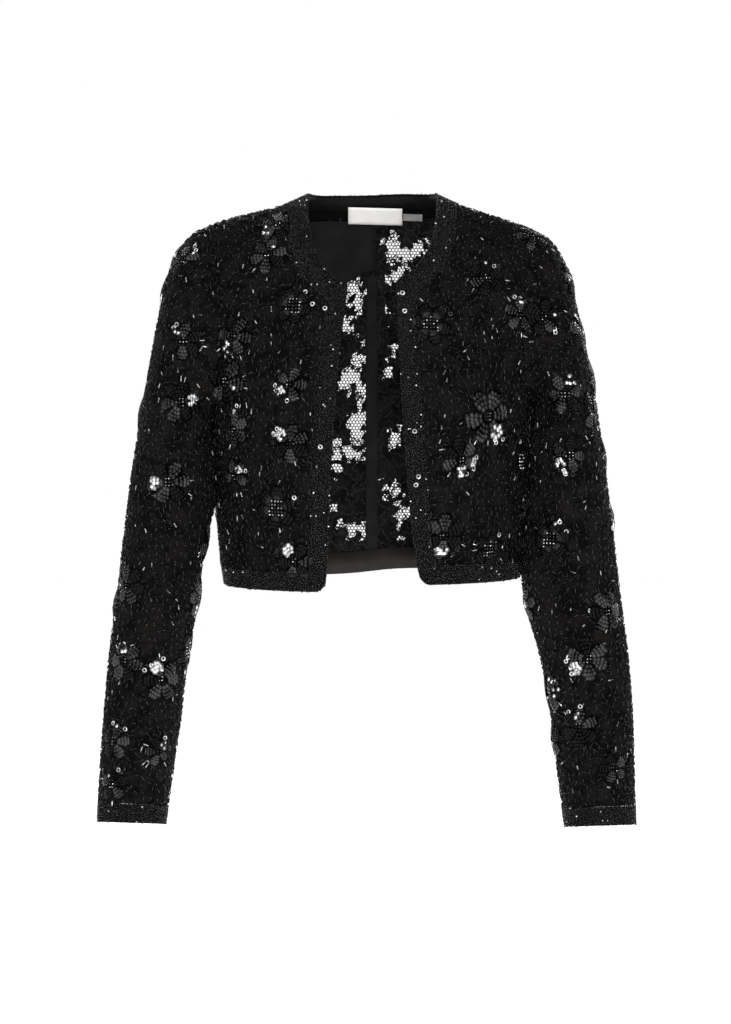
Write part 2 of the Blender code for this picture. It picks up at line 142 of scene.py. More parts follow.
# Sleeves: outer edge (across, height), inner edge (across, height), forward, half depth, lean
SLEEVE = {
    "right": (
        (0.1805, -0.0290, 0.1614, -0.2200, 0.000, 0.0560, 0),
        (0.1920, -0.0415, 0.1614, -0.2215, 0.000, 0.0560, 0),
        (0.2020, -0.0590, 0.1613, -0.2235, 0.000, 0.0560, 0),
        (0.2090, -0.0825, 0.1611, -0.2265, 0.001, 0.0555, 0),
        (0.2155, -0.1125, 0.1607, -0.2320, 0.004, 0.0545, 0),
        (0.2225, -0.1500, 0.1598, -0.2410, 0.009, 0.0535, 0),
        (0.2292, -0.1900, 0.1586, -0.2550, 0.015, 0.0520, 0),
        (0.2358, -0.2300, 0.1580, -0.2730, 0.020, 0.0500, 1),
        (0.2430, -0.2750, 0.1584, -0.2980, 0.023, 0.0480, 2),
        (0.2485, -0.3185, 0.1668, -0.3300, 0.025, 0.0460, 4),
        (0.2532, -0.3590, 0.1722, -0.3650, 0.028, 0.0440, 6),
        (0.2575, -0.3990, 0.1775, -0.4040, 0.032, 0.0425, 8),
        (0.2630, -0.4384, 0.1850, -0.4430, 0.037, 0.0410, 9),
        (0.2670, -0.4780, 0.1900, -0.4820, 0.042, 0.0395, 10),
        (0.2702, -0.5173, 0.1942, -0.5210, 0.047, 0.0380, 10),
        (0.2730, -0.5570, 0.2003, -0.5600, 0.053, 0.0360, 10),
        (0.2750, -0.6005, 0.2060, -0.6030, 0.059, 0.0345, 10),
    ),
    "left": (
        (0.1785, -0.0345, 0.1614, -0.2125, 0.000, 0.0560, 0),
        (0.1885, -0.0465, 0.1614, -0.2140, 0.000, 0.0560, 0),
        (0.1968, -0.0645, 0.1613, -0.2160, 0.000, 0.0560, 0),
        (0.2025, -0.0865, 0.1611, -0.2195, 0.001, 0.0560, 0),
        (0.2095, -0.1155, 0.1607, -0.2255, 0.004, 0.0560, 0),
        (0.2170, -0.1520, 0.1598, -0.2350, 0.009, 0.0555, 0),
        (0.2245, -0.1920, 0.1586, -0.2500, 0.015, 0.0545, 0),
        (0.2302, -0.2320, 0.1577, -0.2700, 0.020, 0.0530, 1),
        (0.2362, -0.2760, 0.1572, -0.2970, 0.024, 0.0510, 2),
        (0.2412, -0.3185, 0.1548, -0.3290, 0.027, 0.0490, 4),
        (0.2462, -0.3590, 0.1508, -0.3650, 0.030, 0.0470, 6),
        (0.2507, -0.3990, 0.1560, -0.4040, 0.034, 0.0450, 8),
        (0.2560, -0.4384, 0.1675, -0.4430, 0.039, 0.0430, 9),
        (0.2597, -0.4780, 0.1762, -0.4820, 0.044, 0.0410, 10),
        (0.2622, -0.5173, 0.1820, -0.5210, 0.049, 0.0390, 10),
        (0.2632, -0.5570, 0.1862, -0.5600, 0.055, 0.0370, 10),
        (0.2642, -0.6030, 0.1920, -0.6055, 0.061, 0.0350, 10),
    ),
}
SLEEVE_ROUNDNESS = 2.1
SLEEVE_GAP = 0.0007
CAP_STATIONS = 5
CUFF_HEIGHT = 0.0190

# Levels between which a place on the back is looked for
BACK_SEARCH = (0.012, 0.200)

# Shares of the way across a neck band
NECK_WIDTHS = [0.0, 0.6, 0.93, 1.0]

# Labels inside the back neck: their distance from the lining; left end, right end, top, bottom, slant
LABEL_ROOM = 0.0020
LABELS = {
    "label": (-0.0250, 0.0320, 0.0025, -0.0150, -0.0015),
    "size_tab": (0.0330, 0.0540, -0.0045, -0.0115, -0.0005),
}

# Shares of the way up a panel: the underarm, the low end of the neckline, the low edge of the yoke
SIDE_SHARE = 0.42
NECK_SHARE = SIDE_SHARE + (1 - SIDE_SHARE) / 2
YOKE_UP = SIDE_SHARE + (1 - SIDE_SHARE) / 3

# How much closer a neckline's places lie at its centre; half width of the back's seam strip, as a share
NECK_SQUEEZE = 2.0
END_STEP = 0.018

# Shares of the way across a front band
FRONT_BAND_COLUMNS = (0.0, 0.08, 0.16, 0.3, 0.5, 0.75, 1.0)

# Fine steps across a panel, up it, round an armhole and along a neckline
PANEL_ACROSS = list(np.linspace(0, 1, 57))
PANEL_UP = [*np.linspace(0, SIDE_SHARE, 42)[:-1], *np.linspace(SIDE_SHARE, NECK_SHARE, 30)[:-1]]
PANEL_UP += list(np.linspace(NECK_SHARE, 1, 46))
ARMHOLE_SHARES = list(np.linspace(0, 1, 45))
NECK_STEPS = list(np.linspace(0, 1, 30))


def read_row(table, at):
    """Every column of a table at a place between its rows, on a smooth curve through them."""
    places = [row[0] for row in table]
    at = min(max(at, places[0]), places[-1])
    i = max(k for k in range(len(table) - 1) if places[k] <= at)

    def slope(k, column):
        before, after = max(k - 1, 0), min(k + 1, len(table) - 1)
        return (table[after][column] - table[before][column]) / (places[after] - places[before])

    span = places[i + 1] - places[i]
    t = (at - places[i]) / span
    values = []
    for column in range(1, len(table[0])):
        start, end = table[i][column], table[i + 1][column]
        rise = slope(i, column) * span
        fall = slope(i + 1, column) * span
        values.append(
            start * (2 * t**3 - 3 * t**2 + 1)
            + rise * (t**3 - 2 * t**2 + t)
            + end * (3 * t**2 - 2 * t**3)
            + fall * (t**3 - t**2)
        )
    return values


def blend(start, end, t):
    """A value part of the way from one to another."""
    return start + (end - start) * t


def ease(t):
    """A smooth step from 0 to 1."""
    t = min(max(t, 0.0), 1.0)
    return t * t * (3 - 2 * t)


def path_to(level):
    """How far the cloth runs from the shoulder line, over the rounded shoulder, to a level."""
    if level >= SHOULDER_ROUND:
        return level + SHOULDER_ROUND * (math.pi / 2 - 1)
    return SHOULDER_ROUND * math.acos(1 - max(level, 0.0) / SHOULDER_ROUND)


def level_after(path):
    """The level that the cloth reaches at that distance from the shoulder line."""
    if path >= SHOULDER_ROUND * math.pi / 2:
        return path - SHOULDER_ROUND * (math.pi / 2 - 1)
    return SHOULDER_ROUND * (1 - math.cos(max(path, 0.0) / SHOULDER_ROUND))


def turn_at(x, level):
    """The turn round the body at a distance from the centre line."""
    half_width = read_row(BODY_LEVELS, level)[0]
    share = min(abs(x) / half_width, 1.0)
    return math.copysign(math.asin(share ** (ROUNDNESS / 2)), x)


def smooth_body(face, turn, level):
    """A point of the body's outer surface, before its folds."""
    half_width, depth_front, depth_back = read_row(BODY_LEVELS, level)
    depth = depth_front if face == FRONT else depth_back
    if level < SHOULDER_ROUND:
        depth *= math.sqrt(1 - (1 - max(level, 0.0) / SHOULDER_ROUND) ** 2)
    x = half_width * abs(math.sin(turn)) ** (2 / ROUNDNESS)
    y = face * (depth * max(math.cos(turn), 0.0) ** (2 / ROUNDNESS) + SEAM / 2)
    z = -level + read_row(SHOULDER_LINE, x)[int(turn > 0)] * (1 - level / BODY_LENGTH)
    z += BODY_TILT * math.copysign(math.tanh(x / TILT_WIDTH), turn) * ease(level / NECK_FRONT_DROP)
    if face == BACK and x < NECK_LIFT_REACH:
        rise = (1 - (x / NECK_LIFT_REACH) ** 3) ** 2
        down = max(level, 0.0) / NECK_BACK_DROP
        z += NECK_BACK_DROP * rise * down * math.exp(1 - down)
    return Vector((math.copysign(x, turn), y, z))


def body_normal(face, turn, level):
    """The outward direction of the body's surface."""
    small_turn, small_level = 0.0008, 0.00002
    round_body = smooth_body(face, turn + small_turn, level) - smooth_body(face, turn - small_turn, level)
    below = smooth_body(face, turn, min(level + small_level, BODY_LENGTH))
    above = smooth_body(face, turn, max(level - small_level, 0.0))
    return (round_body.cross(below - above) * face).normalized()


def fold_depth(face, point):
    """How far the soft folds press the cloth in at a point."""
    depth = 0.0
    for fold_face, side, x, top, bottom, half_width, deepest in FOLDS:
        if fold_face != face or point.x * side <= 0:
            continue
        across = (abs(point.x) - x) / half_width
        down = (top - point.z) / (top - bottom)
        if abs(across) < 2 and 0 < down < 1:
            ends = math.sin(math.pi * down) ** FOLD_TAPER
            depth += deepest * math.exp(-(across**2) * FOLD_STEEPNESS) * ends
    return depth


def on_body(face, turn, level, out=0.0):
    """A point of the body moved out from its surface, or in where out is negative."""
    point = smooth_body(face, turn, level)
    return point + body_normal(face, turn, level) * (out - fold_depth(face, point))


def front_edge(level, side):
    """Distance of the front edge from the centre line."""
    return read_row(FRONT_EDGE, level)[side > 0]


def neck_point(face, angle, wider):
    """A place on the neckline, as distance from the centre line and level; angle 0 is the shoulder."""
    drop = NECK_FRONT_DROP if face == FRONT else NECK_BACK_DROP
    power = 2 / NECK_ROUNDNESS
    x = math.copysign((NECK_SIDE + wider) * abs(math.cos(angle)) ** power, math.cos(angle))
    return x, (drop + wider) * max(math.sin(angle), 0.0) ** power


def neck_angle(v):
    """The angle along a neckline: 0 at the side of +X, a quarter turn at the centre for v = 0."""
    angle = math.pi / 2 * (1 - abs(v)) ** NECK_SQUEEZE
    return angle if v >= 0 else math.pi - angle


def neck_corner(wider, side):
    """The angle at which the front neckline meets the line that far inside the front edge."""
    angle = math.pi / 2
    while angle > 0:
        x, level = neck_point(FRONT, angle, wider)
        if x >= front_edge(level, side) + wider:
            return angle
        angle -= CORNER_SEARCH_STEP
    return angle


def armhole(fraction):
    """A place on the armhole: 0 at the underarm and 1 at the shoulder, as turn and level."""
    level = ARMHOLE_DEPTH * (1 + math.cos(math.pi * fraction)) / 2
    if fraction <= 0:
        return math.pi / 2, ARMHOLE_DEPTH
    return turn_at(read_row(ARMHOLE, level)[0], level), level


def mix(a, b, t):
    """A place part of the way from one to another, measured along the cloth."""
    return blend(a[0], b[0], t), level_after(blend(path_to(a[1]), path_to(b[1]), t))


def patch(left, right, bottom, top, across, up):
    """Places filling the space between four edges, row by row from the bottom."""
    corners = left(0), right(0), left(1), right(1)
    rows = []
    for v in up:
        row = []
        for u in across:
            sides = mix(left(v), right(v), u)
            ends = mix(bottom(u), top(u), v)
            plain = mix(mix(corners[0], corners[1], u), mix(corners[2], corners[3], u), v)
            turn = sides[0] + ends[0] - plain[0]
            path = path_to(sides[1]) + path_to(ends[1]) - path_to(plain[1])
            row.append((turn, level_after(path)))
        rows.append(row)
    return rows


def strip(edge_a, edge_b, along, across):
    """Places between two edges that run side by side."""
    return [[mix(edge_a(v), edge_b(v), u) for u in across] for v in along]


def panel_grid(face, side):
    """Places of a front or back panel, from the hem up and from the centre to the side."""
    inset = BAND_WIDTH + SEAM
    low = BODY_LENGTH - inset
    start = neck_corner(inset, side) if face == FRONT else math.pi / 2
    high = neck_point(face, start, inset)[1]
    neck = neck_line(face, start, inset)

    def centre_and_neck(v):
        if v > NECK_SHARE:
            return neck((v - NECK_SHARE) / (1 - NECK_SHARE))
        level = level_after(blend(path_to(low), path_to(high), v / NECK_SHARE))
        x = front_edge(level, side) + inset if face == FRONT else SEAM / 2
        return turn_at(x, level), level

    def side_and_armhole(v):
        if v <= SIDE_SHARE:
            return math.pi / 2, blend(low, ARMHOLE_DEPTH, v / SIDE_SHARE)
        return armhole((v - SIDE_SHARE) / (1 - SIDE_SHARE))

    def hem(u):
        return blend(centre_and_neck(0)[0], math.pi / 2, u), low

    def shoulder(u):
        return turn_at(blend(NECK_SIDE + inset, SHOULDER_END, u), 0.0), 0.0

    return patch(centre_and_neck, side_and_armhole, hem, shoulder, PANEL_ACROSS, PANEL_UP)


def neck_level_at(x):
    """Level of the front neckline at a distance from the centre line."""
    share = 1 - (x / NECK_SIDE) ** NECK_ROUNDNESS
    return NECK_FRONT_DROP * share ** (1 / NECK_ROUNDNESS)


def front_band_places(side):
    """Places of the front band, level with the panel's rows and cut to the neckline at the top."""
    rows = [row for v, row in zip(PANEL_UP, panel_grid(FRONT, side)) if v <= NECK_SHARE]
    levels = [BODY_LENGTH] + [row[0][1] for row in rows]
    rows = []
    for level in levels:
        edge = front_edge(level, side)
        rows.append([(turn_at(edge + BAND_WIDTH * share, level), level) for share in FRONT_BAND_COLUMNS])
    top = []
    for share in FRONT_BAND_COLUMNS:
        x = front_edge(NECK_FRONT_DROP, side) + BAND_WIDTH * share
        level = neck_level_at(x) + CORNER_ROUND * max(0, 1 - share / CORNER_SHARE) ** 2
        top.append((turn_at(x, level), level))
    return rows + [top]


def neck_line(face, start, wider):
    """A line that far outside the neckline; v runs from the start's angle to the shoulder at 1."""

    def place(v):
        if face == BACK:
            angle = neck_angle(v)
        else:
            angle = start * (1 - v) ** NECK_SQUEEZE
        x, level = neck_point(face, angle, wider)
        return turn_at(x, level), level

    return place


def hem_line(start, level):
    """A level line round the hem, from a turn to the side seam."""
    return lambda v: (blend(start, math.pi / 2, v), level)


def neck_front_places(side):
    """Places of the front neck band, from the front band to the shoulder."""
    join = front_edge(NECK_FRONT_DROP, side) + BAND_WIDTH + SEAM
    inner_start = math.acos((join / NECK_SIDE) ** (NECK_ROUNDNESS / 2))
    inner = neck_line(FRONT, inner_start, 0.0)
    outer = neck_line(FRONT, neck_corner(BAND_WIDTH + SEAM, side), BAND_WIDTH)
    return strip(inner, outer, NECK_STEPS, NECK_WIDTHS)


def hem_front_places(side):
    """Places of a front hem band, from the front band to the side seam."""
    inset = BAND_WIDTH + SEAM
    lines = []
    for level in (BODY_LENGTH, BODY_LENGTH - BAND_WIDTH):
        lines.append(hem_line(turn_at(front_edge(level, side) + inset, level), level))
    return strip(lines[0], lines[1], PANEL_ACROSS, [0.0, 1.0])


def neck_back_places():
    """Places of the back neck band, from shoulder to shoulder."""
    inner, outer = neck_line(BACK, 0, 0.0), neck_line(BACK, 0, BAND_WIDTH)
    along = [-v for v in NECK_STEPS[:0:-1]] + NECK_STEPS
    return strip(inner, outer, along, NECK_WIDTHS)


def hem_back_places():
    """Places of the back hem band, from side seam to side seam."""
    low = hem_line(0.0, BODY_LENGTH)
    high = hem_line(0.0, BODY_LENGTH - BAND_WIDTH)
    along = [-u for u in PANEL_ACROSS[:0:-1]] + PANEL_ACROSS
    return strip(low, high, along, [0.0, 1.0])


def sleeve_places():
    """The armhole's own steps: down the front from the shoulder, then up the back."""
    down = [(FRONT, share) for share in ARMHOLE_SHARES[::-1]]
    return down + [(BACK, share) for share in ARMHOLE_SHARES[1:-1]]


def sleeve_ring(station, side):
    """One ring of a sleeve, from its outer edge round the front, the inner edge and the back."""
    outer_x, outer_z, inner_x, inner_z, forward, half_depth, lean = station
    middle = Vector(((outer_x + inner_x) / 2, -forward, (outer_z + inner_z) / 2))
    reach = Vector(((outer_x - inner_x) / 2, 0, (outer_z - inner_z) / 2))
    front = Vector((0, -math.cos(math.radians(lean)), math.sin(math.radians(lean)))) * half_depth
    ring = []
    power = 2 / SLEEVE_ROUNDNESS
    for face, share in sleeve_places():
        angle = math.pi * (1 - share) if face == FRONT else math.pi * (1 + share)
        a = math.copysign(abs(math.cos(angle)) ** power, math.cos(angle))
        b = math.copysign(abs(math.sin(angle)) ** power, math.sin(angle))
        point = middle + reach * a + front * b
        point.x *= side
        ring.append(point)
    return ring


def armhole_ring(side):
    """The armhole seam, with the sleeve's gap, in the order of a sleeve's rings."""
    ring = []
    for face, share in sleeve_places():
        turn, level = armhole(share)
        point = smooth_body(face, turn * side, level)
        if share in (0.0, 1.0):
            point.y = 0.0
        point.x += SLEEVE_GAP * side
        ring.append(point)
    return ring


def back_level_at(x, height):
    """The level on the back at a distance from the centre line and a height."""
    low, high = BACK_SEARCH
    for _ in range(30):
        level = (low + high) / 2
        if smooth_body(BACK, turn_at(x, level), level).z > height:
            low = level
        else:
            high = level
    return level


# Inner side of the back, seen from the front through the open edges: places where the lace is open net.
# Middle across, middle height, half width, half height, in millimetres
NET_PATCHES = (
    (34, -42, 21, 15),
    (26, -66, 8, 13),
    (-19, -98, 9, 22),
    (-24, -123, 10, 16),
    (-15, -155, 8, 14),
    (-21, -184, 15, 17),
    (-16, -222, 9, 28),
    (-20, -254, 12, 11),
    (-36, -267, 7, 17),
    (-20, -338, 16, 8),
    (21, -114, 5, 10),
    (18, -168, 5, 20),
    (23, -239, 6, 13),
    (13, -294, 5, 8),
    (27, -315, 7, 25),
    (-70, -150, 14, 20),
    (-82, -235, 12, 22),
    (-60, -310, 16, 10),
    (-95, -300, 9, 13),
    (62, -95, 13, 17),
    (74, -165, 11, 24),
    (55, -225, 14, 12),
    (86, -262, 10, 18),
    (58, -318, 12, 14),
    (92, -120, 8, 16),
)

# Open net: its lowest height (mm), width and height of a cell, radius of its thread, the area searched
NET_LOWEST = -346
NET_CELL = (0.0034, 0.0040)
THREAD = 0.00056
NET_TOP = -0.02
NET_HEIGHT = 0.36
NET_WIDTH = 0.125

# Corners of a cell in half widths and quarter heights, and the shares of a cell at which it is tested
NET_CORNERS = ((0, 2), (1, 1), (1, -1), (0, -2), (-1, -1), (-1, 1))
NET_TESTS = ((0, 0), (0.5, 0), (-0.5, 0), (0, 0.5), (0, -0.5))

# Small spots round the net are this much taller than wide
SPOT_LENGTH = 1.3

# The turn that the yoke laps over the centre line, and the rounding of a front band's lower corner
YOKE_LAP = -0.012
FOOT_ROUND = 0.007

# How far the hem facing rises over the hem band's upper edge
FACING_RISE = 0.0020

# Flowers seen from the front: across, height (mm), radius (mm), side of the bright sequins where highlights
# are painted (degrees), kind
FLOWERS = (
    (-93, -22, 17, 200, "petals"),
    (-103, -52, 18, 90, "petals"),
    (-78, -101, 17, 0, "dots"),
    (-136, -131, 18, 250, "petals"),
    (-145, -177, 23, 320, "petals"),
    (-80, -178, 16, 210, "bright"),
    (-136, -223, 17, 90, "petals"),
    (-80, -236, 18, 150, "bright"),
    (-136, -270, 16, 30, "petals"),
    (-95, -300, 20, 0, "dots"),
    (57, -119, 19, 40, "dots"),
    (113, -74, 17, 60, "petals"),
    (113, -210, 25, 330, "bright"),
    (86, -250, 18, 310, "bright"),
    (70, -326, 20, 280, "bright"),
    (153, -309, 14, 90, "petals"),
    (146, -110, 16, 90, "petals"),
    (-188, -58, 16, 60, "petals"),
    (-188, -137, 17, 120, "petals"),
    (-192, -197, 19, 20, "bright"),
    (-202, -276, 20, 180, "bright"),
    (-243, -380, 18, 150, "petals"),
    (-246, -456, 18, 90, "petals"),
    (-210, -474, 19, 120, "bright"),
    (-256, -535, 16, 90, "petals"),
    (-258, -577, 15, 90, "petals"),
    (-215, -545, 13, 40, "petals"),
    (160, -34, 15, 80, "petals"),
    (169, -112, 17, 350, "petals"),
    (192, -188, 18, 60, "petals"),
    (217, -206, 16, 40, "petals"),
    (196, -250, 16, 250, "bright"),
    (178, -334, 18, 60, "dots"),
    (233, -405, 19, 200, "petals"),
    (214, -452, 20, 210, "bright"),
    (207, -520, 18, 90, "petals"),
    (240, -560, 14, 60, "petals"),
)

# How often a sequin on a flower's bright side gets the bright metal: a painted highlight
PAINTED_GLINT_CHANCE = {"bright": 0.75, "petals": 0.18, "dots": 0.08}

# Rows of sequins in a petal: share of the radius, and places across the petal
PETAL_ROWS = (
    (0.40, (-0.4, 0.4)),
    (0.60, (-0.8, 0, 0.8)),
    (0.80, (-1.1, -0.37, 0.37, 1.1)),
    (0.98, (-0.7, 0, 0.7)),
)
BEAD_STEP = 0.0034
PAD_SIZE = (0.00036, 0.00030, 0.0013)

# Rings sewn on the bands: across and height (mm)
RING_SPOTS = ((30, -85), (32, -105), (38, -223), (42, -266), (40, -274), (-47, -238), (-62, -99))

# Flowers inside the back, on the opaque places between the net
BACK_FLOWERS = (
    (36, -35, 9, 90, "petals"),
    (-27, -142, 12, 30, "petals"),
    (-30, -204, 13, 100, "petals"),
    (-22, -295, 19, 200, "petals"),
    (17, -275, 12, 20, "petals"),
    (18, -205, 10, 60, "petals"),
)

# Soft creases of the sleeves: side, share round from the outer edge, height, half length, half width,
# depth, slant; and the distance once round a sleeve
SLEEVE_CREASES = (
    (-1, 0.40, -0.300, 0.045, 0.009, 0.0035, 0.5),
    (-1, 0.33, -0.345, 0.050, 0.010, 0.0030, -0.3),
    (-1, 0.22, -0.430, 0.060, 0.009, 0.0022, 0.3),
    (-1, 0.30, -0.205, 0.050, 0.010, 0.0030, 0.6),
    (-1, 0.62, -0.320, 0.050, 0.010, 0.0035, 0.4),
    (-1, 0.80, -0.420, 0.060, 0.010, 0.0025, -0.4),
    (1, 0.38, -0.290, 0.050, 0.010, 0.0035, 0.5),
    (1, 0.30, -0.365, 0.055, 0.010, 0.0032, -0.4),
    (1, 0.22, -0.450, 0.055, 0.009, 0.0025, 0.2),
    (1, 0.32, -0.190, 0.050, 0.010, 0.0030, 0.5),
    (1, 0.65, -0.330, 0.055, 0.010, 0.0035, 0.5),
    (1, 0.78, -0.440, 0.055, 0.010, 0.0025, -0.3),
)
GIRTH = 0.26

# Least distances between curls of cord, bugles, beads of a band, inner curls and the hidden flowers
CORD_SPACING = 0.0067
BUGLE_SPACING = 0.0056
SEED_SPACING = 0.00175
INNER_SPACING = 0.0058
FLOWER_SPACING = 0.043

# How far small parts stand out from the cloth, and how much higher each inner row of sequins lies
CORD_OUT = 0.0005
BUGLE_OUT = 0.0009
SEED_OUT = 0.0004
PAD_OUT = 0.0006
SEQUIN_OUT = 0.0012
SEQUIN_RISE = 0.0006
BEAD_OUT = 0.0014
SPRAY_OUT = 0.0010

# Shares of bugles, sprays and band beads that are bright with painted highlights, and of bugles that run up
# and down
LIT_BUGLES = 0.07
LIT_SPRAYS = 0.12
LIT_SEEDS = 0.02
UPRIGHT = 0.62

# Room round a hidden flower, and round one on a side that the photo shows
HIDDEN_ROOM = 0.021
SEEN_ROOM = 0.035

# Share of a solid's wall that its cloth takes up, and the distance at which points are merged
WALL_SHARE = 0.9
MERGE = 0.00002

# Floor and camera
FLOOR_LEVEL = -1.1
FLOOR_GLOW = 0.72
CAMERA_PLACE = (-0.00663, -3.0, -0.0847)
CAMERA_DOWN = 4.32
LENS = 103.7

# Light from all round, and soft boxes: place, what it points at, size, watts
SURROUND = 0.24
LIGHTS = (
    ((-1.6, -2.4, 1.6), (0, 0, -0.3), 0.8, 36),
    ((1.9, -2.2, 0.9), (0, 0, -0.3), 0.7, 22),
    ((0.2, -1.5, 2.4), (0, 0, -0.2), 0.8, 24),
    ((0.1, -3.2, 0.3), (0, 0, -0.2), 0.6, 62),
    ((-1.5, 2.4, 1.5), (0, 0, -0.3), 0.9, 45),
    ((1.7, 2.2, 0.8), (0, 0, -0.3), 0.8, 28),
)


def nodes_of(name):
    """A new material's node tree, its Principled shader and its Object coordinates."""
    material = bpy.data.materials.new(name)
    material.use_nodes = True
    tree = material.node_tree
    place = tree.nodes.new("ShaderNodeTexCoord")
    return material, tree, tree.nodes["Principled BSDF"], place.outputs["Object"]


def pattern(tree, kind, place, **settings):
    """A texture node on those coordinates, with its inputs set by name."""
    node = tree.nodes.new(kind)
    for name, value in settings.items():
        label = name.replace("_", " ").title()
        if label in node.inputs:
            node.inputs[label].default_value = value
        else:
            setattr(node, name, value)
    tree.links.new(place, node.inputs["Vector"])
    return node


def stretched(tree, place, scale):
    """Object coordinates scaled by different amounts along X, Y and Z."""
    node = tree.nodes.new("ShaderNodeMapping")
    node.inputs["Scale"].default_value = scale
    tree.links.new(place, node.inputs["Vector"])
    return node.outputs["Vector"]


def colours(tree, shader, value, low, high, start=0.3, end=0.7):
    """A shader's two colours, blended over a range of a value."""
    node = tree.nodes.new("ShaderNodeValToRGB")
    node.color_ramp.elements[0].position = start
    node.color_ramp.elements[1].position = end
    node.color_ramp.elements[0].color = (*low, 1)
    node.color_ramp.elements[1].color = (*high, 1)
    tree.links.new(value, node.inputs["Fac"])
    tree.links.new(node.outputs["Color"], shader.inputs["Base Color"])


def raise_surface(tree, shader, heights, distance, strength=0.8):
    """A bump from one or more heights, added up."""
    total = heights[0]
    for height in heights[1:]:
        add = tree.nodes.new("ShaderNodeMath")
        add.operation = "ADD"
        tree.links.new(total, add.inputs[0])
        tree.links.new(height, add.inputs[1])
        total = add.outputs[0]
    bump = tree.nodes.new("ShaderNodeBump")
    bump.inputs["Distance"].default_value = distance
    bump.inputs["Strength"].default_value = strength
    tree.links.new(total, bump.inputs["Height"])
    tree.links.new(bump.outputs["Normal"], shader.inputs["Normal"])


def lace_cloth(name, dark, light):
    """Black lace ground: short cords and loops of thread over a fine mesh."""
    material, tree, shader, place = nodes_of(name)
    cords = pattern(tree, "ShaderNodeTexWave", place, scale=260, distortion=14, detail=3, detail_scale=2.2)
    loops = pattern(tree, "ShaderNodeTexVoronoi", place, scale=420, feature="F1")
    patches = pattern(tree, "ShaderNodeTexNoise", place, scale=70, detail=6)
    colours(tree, shader, patches.outputs["Fac"], dark, light, 0.40, 0.62)
    raise_surface(tree, shader, [cords.outputs["Fac"], loops.outputs["Distance"]], 0.0011, 1.0)
    shader.inputs["Roughness"].default_value = 0.72
    shader.inputs["Specular IOR Level"].default_value = 0.06
    return material


def thread(name, colour, roughness, scale, specular):
    """Twisted thread, or another finely grained dark surface."""
    material, tree, shader, place = nodes_of(name)
    grain = pattern(tree, "ShaderNodeTexNoise", place, scale=scale, detail=3)
    colours(tree, shader, grain.outputs["Fac"], [c * 0.5 for c in colour], colour)
    raise_surface(tree, shader, [grain.outputs["Fac"]], 0.0002)
    shader.inputs["Roughness"].default_value = roughness
    shader.inputs["Specular IOR Level"].default_value = specular
    return material


def glass(name, dark, light, roughness, scale, specular, metal=0.0):
    """Beads or sequins, each a little different from the next."""
    material, tree, shader, place = nodes_of(name)
    each = pattern(tree, "ShaderNodeTexNoise", place, scale=scale, detail=0)
    colours(tree, shader, each.outputs["Fac"], dark, light, 0.42, 0.62)
    rough = tree.nodes.new("ShaderNodeMapRange")
    rough.inputs["To Min"].default_value = roughness * 0.7
    rough.inputs["To Max"].default_value = roughness * 1.5
    tree.links.new(each.outputs["Fac"], rough.inputs["Value"])
    tree.links.new(rough.outputs["Result"], shader.inputs["Roughness"])
    shader.inputs["Metallic"].default_value = metal
    shader.inputs["Specular IOR Level"].default_value = specular
    return material


def woven(name, dark, light, scale, height, roughness, specular):
    """A plain weave or rib: fine bands across and along."""
    material, tree, shader, place = nodes_of(name)
    spread = stretched(tree, place, scale)
    plain = {"scale": 1.0, "distortion": 0.6, "detail": 1}
    weft = pattern(tree, "ShaderNodeTexWave", spread, bands_direction="Z", **plain)
    warp = pattern(tree, "ShaderNodeTexWave", spread, bands_direction="X", **plain)
    # Patchy tone that varies at random
    mottle = pattern(tree, "ShaderNodeTexNoise", place, scale=60, detail=5)
    colours(tree, shader, mottle.outputs["Fac"], dark, light)
    raise_surface(tree, shader, [weft.outputs["Fac"], warp.outputs["Fac"]], height)
    shader.inputs["Roughness"].default_value = roughness
    shader.inputs["Specular IOR Level"].default_value = specular
    return material


# Weaves: how fine they are along X, Y and Z
PLAIN = (900, 900, 900)
RIBS = (60, 60, 260)
SATIN = (1300, 1300, 300)

LACE_CLOTH = lace_cloth("black_lace", (0.0010, 0.0010, 0.0011), (0.0078, 0.0076, 0.0077))
SLEEVE_CLOTH = lace_cloth("brownish_black_lace", (0.0012, 0.0010, 0.0010), (0.0098, 0.0084, 0.0076))
BAND_CLOTH = thread("band_cloth", (0.002, 0.002, 0.002), 0.8, 900, 0.05)
NET_THREAD = thread("net_thread", (0.020, 0.019, 0.019), 0.7, 1500, 0.15)
CORD_THREAD = thread("embroidery_cord", (0.0075, 0.0072, 0.0075), 0.6, 700, 0.15)
# Lighter cord for the inner side: painted light
INNER_CORD_PAINTED_LIGHT = thread("inner_cord_painted_light", (0.026, 0.025, 0.025), 0.7, 700, 0.2)
BUGLE_GLASS = glass("bugle_glass", (0.001, 0.001, 0.001), (0.009, 0.009, 0.010), 0.15, 160, 0.35)
# Pale glass for bugles that catch the light: painted highlights
PAINTED_GLINT_BUGLE_GLASS = glass("bugle_glass_painted_glint", (0.050, 0.050, 0.052), (0.340, 0.340, 0.345), 0.20, 300, 0.5)
SEED_GLASS = glass("seed_bead_glass", (0.001, 0.001, 0.001), (0.022, 0.022, 0.023), 0.20, 700, 0.28)
PETAL_PAD = glass("petal_pad", (0.001, 0.001, 0.001), (0.005, 0.005, 0.006), 0.50, 120, 0.2)
BLACK_SEQUIN = glass("black_sequin", (0.0006, 0.0006, 0.0006), (0.003, 0.003, 0.003), 0.35, 75, 0.08)
# Lighter lace for the inner side: painted light
INNER_LACE_PAINTED_LIGHT = lace_cloth("lace_inner_side_painted_light", (0.0050, 0.0048, 0.0048), (0.0190, 0.0180, 0.0180))
DARK_SEQUIN = glass("dark_sequin", (0.001, 0.001, 0.001), (0.026, 0.025, 0.027), 0.20, 75, 0.35, 0.25)
